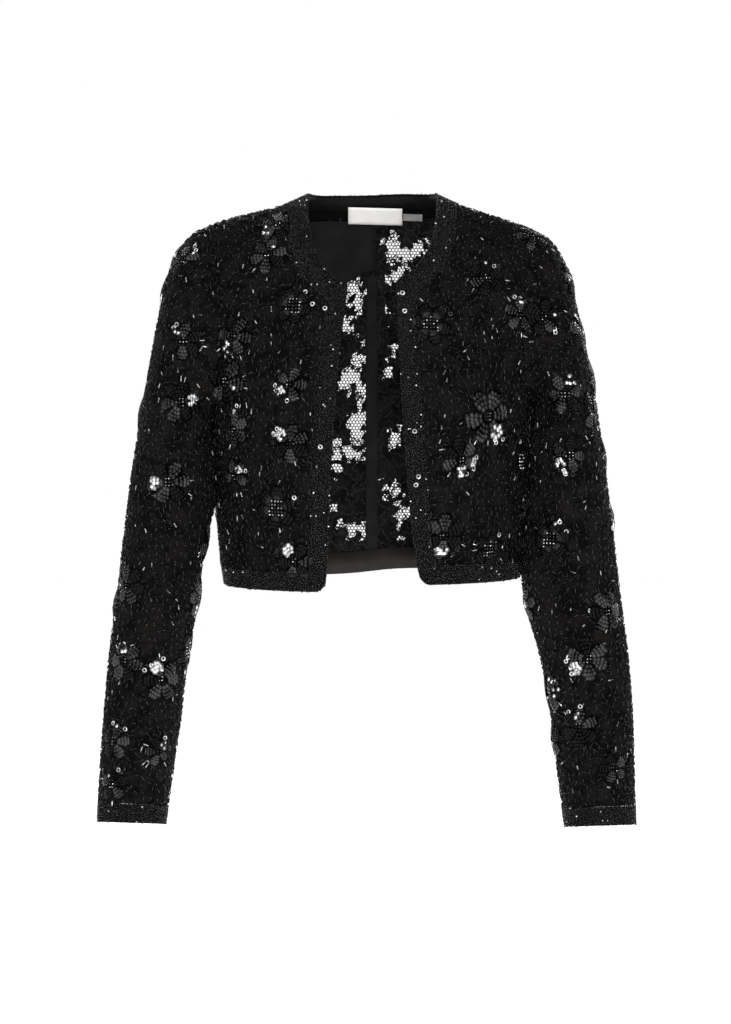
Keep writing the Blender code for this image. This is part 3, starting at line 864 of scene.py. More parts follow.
# Bright metal for sequins, beads, bugles and rings that catch the light: painted highlights
SILVER_PAINTED_GLINT = glass("silver_painted_glint", (0.35, 0.35, 0.36), (0.90, 0.90, 0.91), 0.30, 300, 0.5, 0.7)
LINING_CLOTH = woven("yoke_cloth", (0.007, 0.0066, 0.0067), (0.012, 0.0113, 0.0115), PLAIN, 0.0001, 0.75, 0.1)
RIBBED_CLOTH = woven("ribbed_ribbon", (0.002, 0.002, 0.002), (0.006, 0.0056, 0.0057), RIBS, 0.0004, 0.65, 0.1)
SATIN_CLOTH = woven("brown_satin", (0.014, 0.0110, 0.0107), (0.022, 0.0180, 0.0172), SATIN, 0.0001, 0.42, 0.2)
LABEL_CLOTH = woven("label_tape", (0.80, 0.785, 0.765), (0.87, 0.855, 0.835), PLAIN, 0.0001, 0.8, 0.2)
TAB_CLOTH = woven("grey_tape", (0.20, 0.195, 0.19), (0.38, 0.37, 0.36), PLAIN, 0.0002, 0.8, 0.2)


NEAR_CELLS = [(i, j, k) for i in (-1, 0, 1) for j in (-1, 0, 1) for k in (-1, 0, 1)]


class Sheet:
    """A grid of points on a piece's outer side, with its normals and cell areas."""

    def __init__(self, points):
        self.points = points
        along = np.gradient(points, axis=1)
        up = np.gradient(points, axis=0)
        normals = np.cross(along, up)
        self.normals = normals / (np.linalg.norm(normals, axis=2, keepdims=True) + 1e-12)
        a, b, c, d = points[:-1, :-1], points[:-1, 1:], points[1:, 1:], points[1:, :-1]
        self.cells = np.linalg.norm(np.cross(c - a, d - b), axis=2) / 2
        self.area = float(self.cells.sum())
        self.width = float(np.linalg.norm(b - a, axis=2).sum(axis=1).max())
        self.length = float(np.linalg.norm(d - a, axis=2).sum(axis=0).max())

    def scatter(self, spacing):
        """Places at least that far apart, all over the sheet: points and normals."""
        wanted = int(self.area / spacing**2 * 3)
        share = self.cells.ravel() / self.area
        cell = rng.choice(len(share), wanted, p=share)
        r, c = np.divmod(cell, self.cells.shape[1])
        u, v = rng.random((2, wanted, 1))
        found = []
        for grid in (self.points, self.normals):
            low = grid[r, c] * (1 - u) + grid[r, c + 1] * u
            high = grid[r + 1, c] * (1 - u) + grid[r + 1, c + 1] * u
            found.append(low * (1 - v) + high * v)
        keep, taken = [], {}
        for k, point in enumerate(found[0]):
            key = tuple((point // spacing).astype(int))
            near = [taken.get((key[0] + a, key[1] + b, key[2] + c)) for a, b, c in NEAR_CELLS]
            if all(n is None or ((point - found[0][n]) ** 2).sum() > spacing**2 for n in near):
                taken[key] = k
                keep.append(k)
        return found[0][keep], found[1][keep]


def mesh_object(name, points, faces, *materials, slots=None, smooth=True):
    """One object from arrays of points and of faces with the same number of corners."""
    mesh = bpy.data.meshes.new(name)
    corners = faces.shape[1]
    mesh.vertices.add(len(points))
    mesh.vertices.foreach_set("co", np.asarray(points, np.float32).ravel())
    mesh.loops.add(faces.size)
    mesh.loops.foreach_set("vertex_index", faces.astype(np.int32).ravel())
    mesh.polygons.add(len(faces))
    mesh.polygons.foreach_set("loop_start", np.arange(len(faces), dtype=np.int32) * corners)
    if slots is not None:
        mesh.polygons.foreach_set("material_index", np.asarray(slots, np.int32))
    mesh.update(calc_edges=True)
    if smooth:
        mesh.shade_smooth()
    piece = bpy.data.objects.new(name, mesh)
    bpy.context.scene.collection.objects.link(piece)
    for material in materials:
        piece.data.materials.append(material)
    return piece


def face_out(rows, outward):
    """The same rows, turned so that their faces point outwards."""
    r, c = rows.shape[0] // 2 - 1, rows.shape[1] // 2 - 1
    facing = np.cross(rows[r, c + 1] - rows[r, c], rows[r + 1, c] - rows[r, c])
    return rows if facing @ np.array(outward) > 0 else rows[:, ::-1]


def lay(face, side, places, out=0.0):
    """The sheet of a piece that lies on the body."""
    rows = np.array([[on_body(face, turn * side, level, out) for turn, level in row] for row in places])
    turn, level = places[len(places) // 2][len(places[0]) // 2]
    return Sheet(face_out(rows, body_normal(face, turn * side, level)))


def quads(rows, columns, keep=None):
    """The faces of a grid, or of its kept cells."""
    r, c = np.meshgrid(np.arange(rows - 1), np.arange(columns - 1), indexing="ij")
    first = r * columns + c
    cells = np.stack([first, first + 1, first + columns + 1, first + columns], axis=2)
    return cells.reshape(-1, 4) if keep is None else cells[keep]


def cloth(name, sheet, thickness, material, slot, keep=None):
    """A thin shell of cloth through a sheet, thickened inwards, that stands for its CAD node.

    The inner side of lace is duller, and a little lighter than its face: that lightness is painted light.
    """
    rows, columns = sheet.points.shape[:2]
    piece = mesh_object(name + "_cloth", sheet.points.reshape(-1, 3), quads(rows, columns, keep), material)
    bpy.ops.object.select_all(action="DESELECT")
    piece.select_set(True)
    bpy.context.view_layer.objects.active = piece
    bpy.ops.object.mode_set(mode="EDIT")
    bpy.ops.mesh.select_all(action="SELECT")
    bpy.ops.mesh.remove_doubles(threshold=MERGE)
    bpy.ops.mesh.delete_loose()
    bpy.ops.object.mode_set(mode="OBJECT")
    wall = piece.modifiers.new("wall", "SOLIDIFY")
    wall.thickness = thickness
    wall.offset = -1
    if slot == "lace":
        piece.data.materials.append(INNER_LACE_PAINTED_LIGHT)
        wall.material_offset = 1
        wall.material_offset_rim = 1
    bpy.ops.object.modifier_apply(modifier="wall")
    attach(piece, "root")
    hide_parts(name)
    return piece


def small_part(add, **size):
    """The points and triangles of one small part made from a primitive."""
    bpy.ops.object.select_all(action="DESELECT")
    add(**size)
    mesh = bpy.context.object.data
    mesh.calc_loop_triangles()
    points = np.array([v.co for v in mesh.vertices])
    faces = np.array([t.vertices for t in mesh.loop_triangles])
    bpy.data.objects.remove(bpy.context.object)
    return points, faces


def squiggle():
    """One loose curl of cord, 1 long, lying along X: a triangular tube through a wave."""
    steps, swing, radius = 5, 0.16, 0.075
    points, faces = [], []
    for k in range(steps + 1):
        t = k / steps
        for j in range(3):
            angle = 2 * math.pi * j / 3
            wave = swing * math.sin(2 * math.pi * t)
            points.append((t - 0.5, wave + radius * math.cos(angle), radius * math.sin(angle)))
    for k in range(steps):
        for j in range(3):
            a, b = k * 3 + j, k * 3 + (j + 1) % 3
            faces += [(a, a + 3, b + 3), (a, b + 3, b)]
    last = steps * 3
    faces += [(0, 1, 2), (last, last + 2, last + 1)]
    return np.array(points), np.array(faces)


BUGLE = small_part(bpy.ops.mesh.primitive_cylinder_add, vertices=4, radius=0.00060, depth=1)
SEED = small_part(bpy.ops.mesh.primitive_ico_sphere_add, subdivisions=1, radius=0.00088)
ROUND_BEAD = small_part(bpy.ops.mesh.primitive_uv_sphere_add, segments=6, ring_count=4, radius=0.00125)
CUP_SEQUIN = small_part(bpy.ops.mesh.primitive_cone_add, vertices=7, radius1=0.0031, depth=0.0008)
PAD = small_part(bpy.ops.mesh.primitive_uv_sphere_add, segments=8, ring_count=4, radius=1)
RING_SEQUIN = small_part(
    bpy.ops.mesh.primitive_torus_add,
    major_segments=10,
    minor_segments=3,
    major_radius=0.0018,
    minor_radius=0.0008,
)
NET_BAR = small_part(bpy.ops.mesh.primitive_cylinder_add, vertices=3, radius=1, depth=1)
SQUIGGLE = squiggle()


def column(rows, k):
    """One entry of every row."""
    return np.array([row[k] for row in rows])


def frames(normals, along):
    """Axes for parts that lie on the cloth: X along, Z out."""
    z = normals / np.linalg.norm(normals, axis=1, keepdims=True)
    x = along - (along * z).sum(axis=1, keepdims=True) * z
    x /= np.linalg.norm(x, axis=1, keepdims=True) + 1e-12
    return np.stack([x, np.cross(z, x), z], axis=2)


def lying(normals, along):
    """Axes for parts that are long along their Z: Z along the cloth, -X out."""
    return frames(normals, along)[:, :, [2, 1, 0]] * np.array([-1, 1, 1])


def some(count, share):
    """Ones at random for about that share of the places, and zeros for the rest."""
    return (rng.random(count) < share).astype(int)


def stamp(name, part, centres, axes, scale, materials, chosen=None, smooth=False):
    """Copies of one small part, joined into one piece."""
    points, faces = part
    scaled = points[None] * scale[:, None, :]
    moved = np.einsum("nij,nkj->nki", axes, scaled) + centres[:, None, :]
    every = faces[None] + (np.arange(len(centres)) * len(points))[:, None, None]
    slots = None if chosen is None else np.repeat(chosen, len(faces))
    moved, every = moved.reshape(-1, 3), every.reshape(-1, 3)
    piece = mesh_object(name, moved, every, *materials, slots=slots, smooth=smooth)
    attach(piece, "root")
    return piece


def random_along(normals, upright):
    """Directions on the cloth: mostly up and down, or any way where upright is 0."""
    up = np.tile((0.0, 0.0, 1.0), (len(normals), 1))
    across = np.cross(normals, up)
    turn = rng.random(len(normals)) * math.pi
    lean = rng.normal(0, 0.45, len(normals))
    turn = np.where(rng.random(len(normals)) < upright, lean, turn)[:, None]
    return up * np.cos(turn) + across * np.sin(turn)


def curls(name, centres, axes, longest, widths, height, material):
    """Curls of cord of different sizes, as one piece."""
    size = rng.uniform(0.006, longest, len(centres))
    scale = np.stack([size, rng.uniform(*widths, len(centres)), size * height], axis=1)
    return stamp(name, SQUIGGLE, centres, axes, scale, [material], smooth=True)


def closed_round(rings):
    """Rings of points, each closed, turned so that their faces point outwards."""
    rings = np.concatenate([rings, rings[:, :1]], axis=1)
    r = len(rings) // 2
    facing = np.cross(rings[r, 1] - rings[r, 0], rings[r + 1, 0] - rings[r, 0])
    return rings if facing @ (rings[r, 0] - rings[r].mean(axis=0)) > 0 else rings[:, ::-1]


def sleeve_sheet(name, side):
    """The sleeve's sheet, smooth between its stations, with soft creases."""
    stations = SLEEVE[name]
    seam = armhole_ring(side)
    top, under = seam[0], seam[sleeve_places().index((FRONT, 0.0))]
    plain = sleeve_ring((top.x * side, top.z, under.x * side, under.z, 0, stations[0][5], 0), side)
    rings = [seam]
    for k, station in enumerate(stations):
        hold = 1 - ease((k + 1) / CAP_STATIONS)
        ring = sleeve_ring(station, side)
        rings.append([p + (s - q) * hold for p, s, q in zip(ring, seam, plain)])
    rings = np.array(rings)
    count = len(rings)
    steps = np.linspace(0, count - 1, (count - 1) * 6 + 1)
    fine = []
    for step in steps:
        i = min(int(step), count - 2)
        t = step - i
        a, b, c, d = (rings[min(max(i + k, 0), count - 1)] for k in (-1, 0, 1, 2))
        ring = b * 2 + (c - a) * t
        ring = ring + (a * 2 - b * 5 + c * 4 - d) * t**2
        ring = ring + (b * 3 - a - c * 3 + d) * t**3
        fine.append(ring / 2)
    fine = closed_round(np.array(fine))
    middle = fine[:, :-1].mean(axis=1)[:, None]
    spoke = fine - middle
    shares = np.arctan2(-spoke[:, :, 1], spoke[:, :, 0] * side) / (2 * math.pi) % 1
    depth = np.zeros(shares.shape)
    for crease_side, share, height, half_length, half_width, deepest, slant in SLEEVE_CREASES:
        if crease_side != side:
            continue
        rise = fine[:, :, 2] - height
        round_it = ((shares - share + 0.5) % 1 - 0.5) * GIRTH - rise * slant
        depth += deepest * np.exp(-((round_it / half_width) ** 2) - (rise / half_length) ** 2)
    return Sheet(fine - Sheet(fine).normals * depth[:, :, None])


def cuff_sheet(name, side):
    """The sheet of a cuff band, below the end of its sleeve."""
    last, before = SLEEVE[name][-1], SLEEVE[name][-2]
    run = [last[k] - before[k] for k in range(7)]
    length = math.hypot(run[0], run[1], run[4])
    rings = []
    for down in np.linspace(SEAM, CUFF_HEIGHT, 9):
        grown = [last[k] + run[k] * down / length for k in range(7)]
        grown[0] += BAND_PROUD
        grown[2] -= BAND_PROUD
        grown[5] += BAND_PROUD
        rings.append(sleeve_ring(grown, side))
    return Sheet(closed_round(np.array(rings)))


def satellites(least, most, count):
    """Small spots at some share of the way out from the middle of each large net opening."""
    found = []
    for across, height, half_width, half_height in NET_PATCHES:
        for _ in range(count):
            angle = random.uniform(0, 2 * math.pi)
            reach = random.uniform(least, most)
            small = random.uniform(2.2, 4.6)
            x = across + half_width * reach * math.cos(angle)
            z = height + half_height * reach * math.sin(angle)
            found.append((x, z, small, small * SPOT_LENGTH))
    return found


def net_open(x, z):
    """Whether the lace is open net at a place on the back, seen from the front, in metres."""
    x, z = x * 1000, z * 1000
    if z < NET_LOWEST:
        return False
    for across, height, half_width, half_height in (*NET_PATCHES, *SMALL_PATCHES):
        angle = math.atan2(z - height, x - across)
        wave = 1 + 0.16 * math.sin(5 * angle + across) + 0.10 * math.sin(9 * angle + height)
        if ((x - across) / half_width) ** 2 + ((z - height) / half_height) ** 2 < wave:
            for flower_x, flower_z, radius, _, _ in BACK_FLOWERS:
                if math.hypot(x - flower_x, z - flower_z) < radius * 0.8:
                    return False
            return all(math.hypot(x - leaf[0], (z - leaf[1]) / SPOT_LENGTH) > leaf[2] for leaf in LEAVES)
    return False


def off_net(points):
    """Which points of the back lie on closed lace."""
    return np.array([not net_open(x, z) for x, _, z in points])


def rounded_foot(rows):
    """A front band's places, with the corner at its foot rounded off."""
    foot = []
    for (turn, level), share in zip(rows[0], FRONT_BAND_COLUMNS):
        foot.append((turn, level - FOOT_ROUND * max(0, 1 - 2 * share) ** 2))
    return [foot, *rows[1:]]


SMALL_PATCHES = satellites(1.05, 1.45, 4)
LEAVES = satellites(0.35, 1.0, 3)
SHEETS = {}
CLOTH = {}
for name, side in SIDES:
    SHEETS[f"front_{name}"] = lay(FRONT, side, panel_grid(FRONT, side))
    SHEETS[f"back_{name}"] = lay(BACK, side, panel_grid(BACK, side))
    SHEETS[f"neck_band_{name}"] = lay(FRONT, side, neck_front_places(side), BAND_PROUD)
    SHEETS[f"front_band_{name}"] = lay(FRONT, side, rounded_foot(front_band_places(side)), BAND_PROUD)
    SHEETS[f"hem_band_{name}"] = lay(FRONT, side, hem_front_places(side), BAND_PROUD)
    SHEETS[f"sleeve_{name}"] = sleeve_sheet(name, side)
    SHEETS[f"cuff_band_{name}"] = cuff_sheet(name, side)
SHEETS["neck_band_back"] = lay(BACK, 1, neck_back_places(), BAND_PROUD)
SHEETS["hem_band_back"] = lay(BACK, 1, hem_back_places(), BAND_PROUD)
ON_BAND = BAND_PROUD - BAND - SEAM
ON_LACE = -LACE - SEAM
SHEETS["neck_facing"] = lay(BACK, 1, [row[:2] for row in neck_back_places()][1:-1], ON_BAND)
FACING_TOP = BODY_LENGTH - BAND_WIDTH - FACING_RISE
FACING = [[low, (high[0], FACING_TOP)] for low, high in hem_back_places()[1:-1]]
SHEETS["hem_facing"] = lay(BACK, 1, FACING, ON_BAND)
GRID = panel_grid(BACK, -1)
YOKE_FIRST = min(k for k, v in enumerate(PANEL_UP) if v >= YOKE_UP)
YOKE_LAST = max(k for k, u in enumerate(PANEL_ACROSS) if u <= 0.5)
YOKE = []
for v, row in zip(PANEL_UP[YOKE_FIRST:], GRID[YOKE_FIRST:]):
    first = (YOKE_LAP, row[0][1]) if v <= NECK_SHARE else row[0]
    YOKE.append([first, *row[1 : YOKE_LAST + 1]])
SHEETS["yoke_lining"] = lay(BACK, -1, YOKE, ON_LACE)
STRIP = []
for row in GRID[:YOKE_FIRST]:
    edge = row[0][0] + (row[-1][0] - row[0][0]) * END_STEP
    STRIP.append([(edge * share, row[0][1]) for share in (-1, -0.5, 0, 0.5, 1)])
SHEETS["back_seam_strip"] = lay(BACK, 1, STRIP, ON_LACE)
for name, (start, end, top, bottom, slant) in LABELS.items():
    rows = []
    for k in range(13):
        x = blend(start, end, k / 12)
        row = []
        for height in np.linspace(bottom, top, 7):
            level = back_level_at(x, height + slant * k / 12)
            row.append((turn_at(x, level), level))
        rows.append(row)
    SHEETS[name] = lay(BACK, 1, rows, ON_LACE - LINING - LABEL_ROOM)


def unevenly_spaced(points):
    """The same sheet with its inner points slid about, so that openings cut along cells are ragged."""
    inner = points[1:-1, 1:-1]
    along, up = rng.uniform(-0.38, 0.38, (2, *inner.shape[:2], 1))
    slid = points.copy()
    slid[1:-1, 1:-1] += along * (points[1:-1, 2:] - inner) + up * (points[2:, 1:-1] - inner)
    return Sheet(slid)


FINISHES = {
    "neck_facing": (RIBBED_CLOTH, "dark_lining", LINING),
    "yoke_lining": (LINING_CLOTH, "dark_lining", LINING),
    "back_seam_strip": (LINING_CLOTH, "dark_lining", LINING),
    "hem_facing": (SATIN_CLOTH, "satin_facing", LINING),
    "label": (LABEL_CLOTH, "white_label", LABEL),
    "size_tab": (TAB_CLOTH, "grey_tab", LABEL),
}
for name, _ in SIDES:
    FINISHES[f"front_{name}"] = FINISHES[f"back_{name}"] = (LACE_CLOTH, "lace", LACE)
    FINISHES[f"sleeve_{name}"] = (SLEEVE_CLOTH, "lace", LACE)
for name, sheet in SHEETS.items():
    material, slot, thickness = FINISHES.get(name, (BAND_CLOTH, "beaded_band", BAND))
    keep = None
    if name.startswith("back_") and name != "back_seam_strip":
        sheet = SHEETS[name] = unevenly_spaced(sheet.points)
        points = sheet.points
        middle = (points[:-1, :-1] + points[1:, 1:]) / 2
        keep = np.array([off_net(row) for row in middle])
    CLOTH[name] = cloth(name, sheet, thickness * WALL_SHARE, material, slot, keep)


def tree_of(names):
    """A search tree of the outer sides of some pieces."""
    points, faces, first = [], [], 0
    for name in names:
        sheet = SHEETS[name]
        rows, columns = sheet.points.shape[:2]
        points.append(sheet.points.reshape(-1, 3))
        faces.append(quads(rows, columns) + first)
        first += rows * columns
    return BVHTree.FromPolygons(np.concatenate(points).tolist(), np.concatenate(faces).tolist())


OUTSIDE = tree_of([f"{part}_{name}" for part in ("front", "back", "sleeve") for name, _ in SIDES])
BACKS = tree_of(["back_right", "back_left"])


def rounded(spot):
    """A place on the back as a key, the same for all threads that meet there."""
    return round(spot[0], 5), round(spot[1], 5)


def make_net(name, side):
    """Open net in the gaps of one back panel: threads along the edges of six-sided cells."""
    wide, tall = NET_CELL
    ends, seen = [], set()
    for j in range(int(NET_HEIGHT / (tall * 0.75))):
        z = NET_TOP - j * tall * 0.75
        for i in range(int(NET_WIDTH / wide) + 1):
            x = (i + 0.5 * (j % 2) + 0.5) * wide * side
            if not any(net_open(x + wide * a, z + tall * b) for a, b in NET_TESTS):
                continue
            corners = [(x + wide / 2 * a, z + tall / 4 * b) for a, b in NET_CORNERS]
            for a, b in zip(corners, corners[1:] + corners[:1]):
                key = tuple(sorted([rounded(a), rounded(b)]))
                if key not in seen:
                    seen.add(key)
                    ends.append((a, b))
    placed = {}

    def on_back(spot):
        key = rounded(spot)
        if key not in placed:
            hit, _, _, _ = BACKS.ray_cast(Vector((spot[0], 0, spot[1])), Vector((0, 1, 0)))
            placed[key] = None if hit is None else hit - Vector((0, 1, 0)) * LACE / 2
        return placed[key]

    pairs = [(on_back(a), on_back(b)) for a, b in ends]
    pairs = [(a, b) for a, b in pairs if a is not None and b is not None]
    start, finish = column(pairs, 0), column(pairs, 1)
    run = finish - start
    length = np.linalg.norm(run, axis=1)
    axes = frames(np.tile((0.0, -1.0, 0.0), (len(run), 1)), run)
    bar = (NET_BAR[0] @ np.array([[0, 0, 1], [0, 1, 0], [-1, 0, 0]]), NET_BAR[1])
    scale = np.stack([length * 1.06, np.full(len(run), THREAD), np.full(len(run), THREAD)], axis=1)
    return stamp(f"{name}_net", bar, (start + finish) / 2, axes, scale, [NET_THREAD])


def flower_spot(x, z, face):
    """A flower's middle on the outer side, and its normal, from its place seen from the front."""
    origin = Vector((x / 1000, face * 0.5, z / 1000))
    hit, normal, _, _ = OUTSIDE.ray_cast(origin, Vector((0, -face, 0)))
    return None if hit is None else (hit, normal)


def pressed(point, out):
    """The nearest place on the outer side, and its normal."""
    hit, normal, _, _ = OUTSIDE.find_nearest(point)
    return hit + normal * out, normal


parts = {"cups": [], "rings": [], "beads": [], "sprays": [], "pads": []}


def flower(hit, normal, radius, bright_side, kind):
    """One embroidered flower: petals of overlapping sequins round a dotted grid of beads."""
    up = (Vector((0, 0, 1)) - normal * normal.z).normalized()
    across = up.cross(normal)
    start = random.random() * 2
    petals = 6 if radius > 16 else 5
    grade = radius / 19

    def heading(angle):
        return across * math.cos(angle) + up * math.sin(angle)

    def spot(distance, angle, out):
        return pressed(hit + heading(angle) * distance, out)

    rows = PETAL_ROWS[2:] if kind == "dots" else PETAL_ROWS
    for petal in range(petals):
        angle = start + petal * 2 * math.pi / petals + random.uniform(-0.12, 0.12)
        lit = math.cos(angle - math.radians(bright_side))
        lean = random.uniform(0.08, 0.38)
        grey = 2 if kind != "dots" and random.random() < 0.6 else 0
        place, out = spot(radius * 0.00068, angle, PAD_OUT)
        parts["pads"].append((place, out, heading(angle), radius))
        for k, (share, offsets) in enumerate(rows):
            for offset in offsets:
                distance = radius * share / 1000
                turn = angle + offset * 0.0040 * grade / max(distance, 0.004)
                place, out = spot(distance, turn, SEQUIN_OUT + SEQUIN_RISE * (len(rows) - k))
                tilt = out + heading(turn) * (lean + random.gauss(0, 0.05)) + across * random.gauss(0, 0.05)
                # Sequins on the side that faces the light get the bright metal: painted highlights
                painted_glint = lit > 0.8 and k > 0 and random.random() < PAINTED_GLINT_CHANCE[kind]
                size = grade * random.uniform(0.9, 1.1)
                parts["cups"].append((place, tilt.normalized(), size, 1 if painted_glint else grey))
    reach = 2 if kind == "dots" else 1
    for i in range(-reach, reach + 1):
        for j in range(-reach, reach + 1):
            if kind == "dots" or random.random() < 0.95:
                flat = hit + across * BEAD_STEP * (i + random.uniform(-0.1, 0.1))
                flat = flat + up * BEAD_STEP * (j + random.uniform(-0.1, 0.1))
                place, out = pressed(flat, BEAD_OUT)
                # Some centre beads are smaller and in the bright metal: painted highlights
                lit = random.random() < 0.45
                parts["beads"].append((place, out, 0.62 if lit else 1.0, lit))
    for _ in range(random.randint(7, 11)):
        angle = random.random() * 2 * math.pi
        place, out = spot((radius + random.uniform(1.5, 6)) / 1000, angle, SPRAY_OUT)
        parts["sprays"].append((place, out, heading(angle)))
    # Rings near the bright side, half of them in the bright metal: painted highlights
    for _ in range(2 if kind != "bright" else 5):
        angle = math.radians(bright_side) + random.gauss(0, 0.5)
        place, out = spot((radius * random.uniform(0.95, 1.25)) / 1000, angle, BEAD_OUT)
        parts["rings"].append((place, out, 1.0, random.random() < 0.5))


middles = []
for face, table in ((FRONT, FLOWERS), (BACK, BACK_FLOWERS)):
    for x, z, radius, bright_side, kind in table:
        found = flower_spot(x, z, face)
        if found:
            middles.append((found[0], radius))
            flower(*found, radius, bright_side, kind)
wide_pieces = [f"{part}_{name}" for part in ("back", "sleeve", "front") for name, _ in SIDES]
hidden = [SHEETS[name].scatter(FLOWER_SPACING) for name in wide_pieces]
for points, normals in hidden:
    for point, normal in zip(points, normals):
        point, normal = Vector(point), Vector(normal)
        room = min((point - m).length - r / 1000 for m, r in middles)
        seen = normal.y < -0.35
        opened = point.y > 0 and net_open(point.x, point.z)
        if room > (SEEN_ROOM if seen else HIDDEN_ROOM) and not opened:
            radius = random.uniform(14, 19)
            middles.append((point, radius))
            kind = random.choice(("petals", "petals", "bright", "dots"))
            flower(point, normal, radius, random.uniform(0, 360), kind)

middle_points = column(middles, 0)
middle_radii = column(middles, 1) / 1000


def clear_of_flowers(points, share):
    """Which points lie outside the flowers, shrunk by a share."""
    near = np.linalg.norm(points[:, None, :] - middle_points[None], axis=2)
    return (near > middle_radii[None] * share).all(axis=1)


def scattered(name, sheet):
    """Bugle beads and curls of cord all over one piece."""
    made = []
    for kind, spacing, share in (("cords", CORD_SPACING, 0.55), ("bugles", BUGLE_SPACING, 0.85)):
        points, normals = sheet.scatter(spacing)
        keep = clear_of_flowers(points, share)
        if name.startswith("back_"):
            keep &= off_net(points)
        points, normals = points[keep], normals[keep]
        if kind == "cords":
            axes = frames(normals, random_along(normals, 0.0))
            centres = points + normals * CORD_OUT
            made.append(curls(f"{name}_cords", centres, axes, 0.010, (0.007, 0.011), 0.8, CORD_THREAD))
            continue
        along = random_along(normals, UPRIGHT)
        axes = lying(normals, along)
        tilt = rng.normal(0, 0.10, (len(points), 3))
        axes = lying(axes[:, :, 0] * -1 + tilt, along)
        ones = np.ones(len(points))
        scale = np.stack([ones, ones, rng.uniform(0.0030, 0.0058, len(points))], axis=1)
        # Some bugles in pale glass: painted highlights
        lit = some(len(points), LIT_BUGLES)
        centres = points + normals * BUGLE_OUT
        glasses = [BUGLE_GLASS, PAINTED_GLINT_BUGLE_GLASS]
        made.append(stamp(f"{name}_bugles", BUGLE, centres, axes, scale, glasses, lit))
    return made


def banded(name, sheet):
    """Small beads close together over one band."""
    points, normals = sheet.scatter(SEED_SPACING)
    axes = frames(normals, random_along(normals, 0.0))
    size = rng.uniform(0.8, 1.15, len(points))
    scale = np.stack([size, size, size], axis=1)
    # A few band beads in the bright metal: painted glints
    lit = some(len(points), LIT_SEEDS)
    centres = points + normals * SEED_OUT
    glasses = [SEED_GLASS, SILVER_PAINTED_GLINT]
    return [stamp(f"{name}_beads", SEED, centres, axes, scale, glasses, lit, True)]


def net_edging(name, side):
    """Loops of cord along the edges of the open net, on both sides of one back panel."""
    spots = []
    for across, height, half_width, half_height in NET_PATCHES:
        if across * side <= 0:
            continue
        count = int((half_width + half_height) * 0.62)
        for k in range(count):
            angle = k * 2 * math.pi / count
            reach = random.uniform(0.95, 1.12)
            x = (across + half_width * reach * math.cos(angle)) / 1000
            z = (height + half_height * reach * math.sin(angle)) / 1000
            heading = Vector((-half_width * math.sin(angle), 0, half_height * math.cos(angle))).normalized()
            hit, _, _, _ = BACKS.ray_cast(Vector((x, 0, z)), Vector((0, 1, 0)))
            if hit is not None and abs(x) > 0.008:
                heading.x += random.gauss(0, 0.35)
                spots.append((hit + Vector((0, 0.0003, 0)), heading))
                spots.append((hit - Vector((0, LACE * WALL_SHARE + 0.0006, 0)), heading))
    axes = frames(np.tile((0.0, -1.0, 0.0), (len(spots), 1)), column(spots, 1))
    return curls(f"{name}_net_edging", column(spots, 0), axes, 0.010, (0.008, 0.014), 1, CORD_THREAD)


def inner_cords(name, sheet):
    """Backs of the embroidery cords, on the inner side of one back panel, in a lighter cord that is painted
    light.
    """
    points, normals = sheet.scatter(INNER_SPACING)
    keep = (np.abs(points[:, 0]) < 0.09) & off_net(points)
    points, normals = points[keep], normals[keep]
    axes = frames(-normals, random_along(normals, 0.0))
    inner = points - normals * (LACE * WALL_SHARE + 0.0004)
    return curls(f"{name}_inner_cords", inner, axes, 0.011, (0.008, 0.014), 0.8, INNER_CORD_PAINTED_LIGHT)


def joined(name, part, places, materials, flat=1.0):
    """The flowers' sequins or beads as one piece, from rows of place, normal, size and material."""
    normals = column(places, 1)
    axes = frames(normals, random_along(normals, 0.0))
    size = column(places, 2)[:, None] * np.array((1, 1, flat))
    return stamp(name, part, column(places, 0), axes, size, materials, column(places, 3).astype(int))


GOES_WITH = {}
for name, sheet in SHEETS.items():
    if name.startswith(("front_band", "neck_band", "hem_band", "cuff_band")):
        GOES_WITH[name] = banded(name, sheet)
    elif name.startswith(("front_", "sleeve_")) or name in ("back_right", "back_left"):
        GOES_WITH[name] = scattered(name, sheet)
for name, side in SIDES:
    GOES_WITH[f"back_{name}"].append(make_net(f"back_{name}", side))
    GOES_WITH[f"back_{name}"].append(net_edging(f"back_{name}", side))
    GOES_WITH[f"back_{name}"].append(inner_cords(f"back_{name}", SHEETS[f"back_{name}"]))

BANDS = tree_of([n for n in SHEETS if n.startswith(("front_band", "neck_band"))])
# Rings on the bands, all in the bright metal: painted highlights
for x, z in RING_SPOTS:
    hit, normal, _, _ = BANDS.find_nearest(Vector((x / 1000, -0.1, z / 1000)))
    parts["rings"].append((hit + normal * SEQUIN_OUT, normal, 1.0, True))
joined("flower_sequins", CUP_SEQUIN, parts["cups"], [BLACK_SEQUIN, SILVER_PAINTED_GLINT, DARK_SEQUIN])
joined("ring_sequins", RING_SEQUIN, parts["rings"], [DARK_SEQUIN, SILVER_PAINTED_GLINT], flat=0.55)
joined("flower_beads", ROUND_BEAD, parts["beads"], [BUGLE_GLASS, SILVER_PAINTED_GLINT])
pads, sprays = parts["pads"], parts["sprays"]
axes = frames(column(pads, 1), column(pads, 2))
scale = np.array([[p[3] * PAD_SIZE[0], p[3] * PAD_SIZE[1], PAD_SIZE[2]] for p in pads])
stamp("petal_pads", PAD, column(pads, 0), axes, scale, [PETAL_PAD], smooth=True)
axes = lying(column(sprays, 1), column(sprays, 2))
scale = np.tile((1.0, 1.0, 0.0050), (len(sprays), 1))
glasses = [BUGLE_GLASS, SILVER_PAINTED_GLINT]
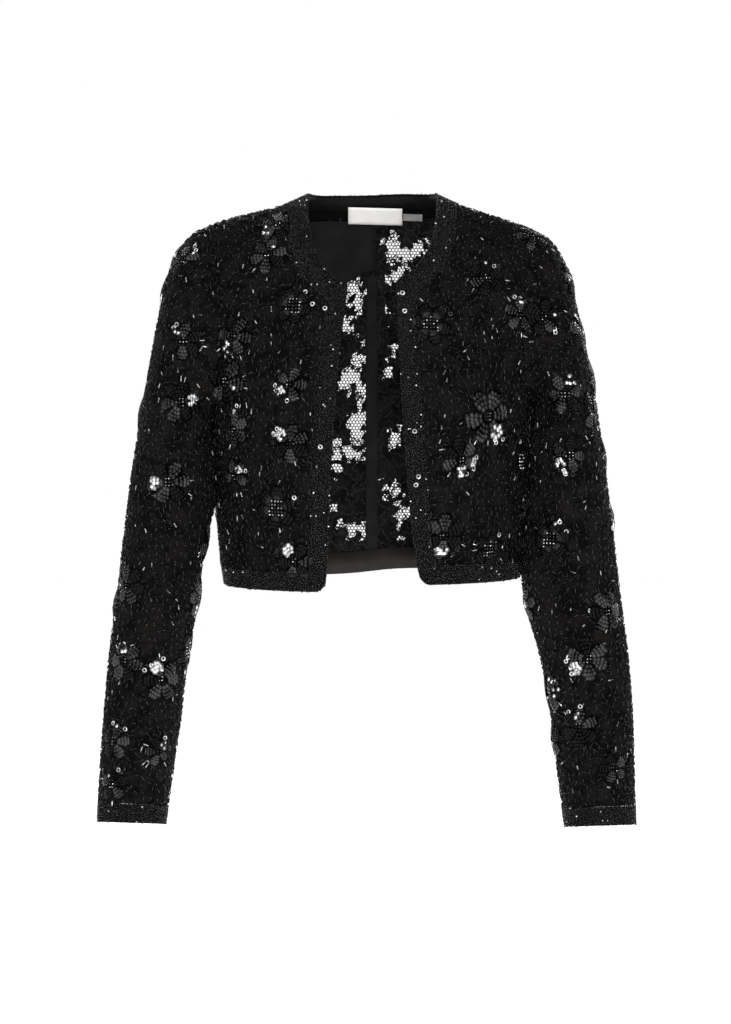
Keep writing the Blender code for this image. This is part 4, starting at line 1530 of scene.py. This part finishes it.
# Some sprays in the bright metal: painted highlights
stamp("flower_sprays", BUGLE, column(sprays, 0), axes, scale, glasses, some(len(sprays), LIT_SPRAYS))

for name, piece in CLOTH.items():
    sheet = SHEETS[name]

# Floor, light and camera
bpy.ops.object.select_all(action="DESELECT")
bpy.ops.mesh.primitive_plane_add(size=9, location=(0, 0, FLOOR_LEVEL))
floor = bpy.context.object
floor_material, tree, shader, place = nodes_of("pale_floor")
grain = pattern(tree, "ShaderNodeTexNoise", place, scale=3, detail=2)
colours(tree, shader, grain.outputs["Fac"], (0.92, 0.92, 0.92), (0.95, 0.95, 0.95))
shader.inputs["Roughness"].default_value = 0.9
shader.inputs["Emission Color"].default_value = (1, 1, 1, 1)
shader.inputs["Emission Strength"].default_value = FLOOR_GLOW
floor.data.materials.append(floor_material)

world = bpy.data.worlds.new("soft_studio")
bpy.context.scene.world = world
world.use_nodes = True
tree = world.node_tree
ray = tree.nodes.new("ShaderNodeLightPath")
strength = tree.nodes.new("ShaderNodeMapRange")
strength.inputs["To Min"].default_value = SURROUND
strength.inputs["To Max"].default_value = 1.0
tree.links.new(ray.outputs["Is Camera Ray"], strength.inputs["Value"])
tree.nodes["Background"].inputs["Color"].default_value = (1, 1, 1, 1)
tree.links.new(strength.outputs["Result"], tree.nodes["Background"].inputs["Strength"])
for place, aim, size, watts in LIGHTS:
    data = bpy.data.lights.new("soft_box", "AREA")
    data.size = size
    data.energy = watts
    lamp = bpy.data.objects.new("soft_box", data)
    lamp.location = place
    lamp.rotation_mode = "QUATERNION"
    lamp.rotation_quaternion = (Vector(aim) - Vector(place)).to_track_quat("-Z", "Y")
    bpy.context.scene.collection.objects.link(lamp)

lens = bpy.data.cameras.new("camera")
lens.lens = LENS
camera = bpy.data.objects.new("camera", lens)
camera.location = CAMERA_PLACE
camera.rotation_euler = (math.radians(90 - CAMERA_DOWN), 0, 0)
bpy.context.scene.collection.objects.link(camera)
bpy.context.scene.camera = camera
bpy.context.scene.view_settings.view_transform = "Standard"
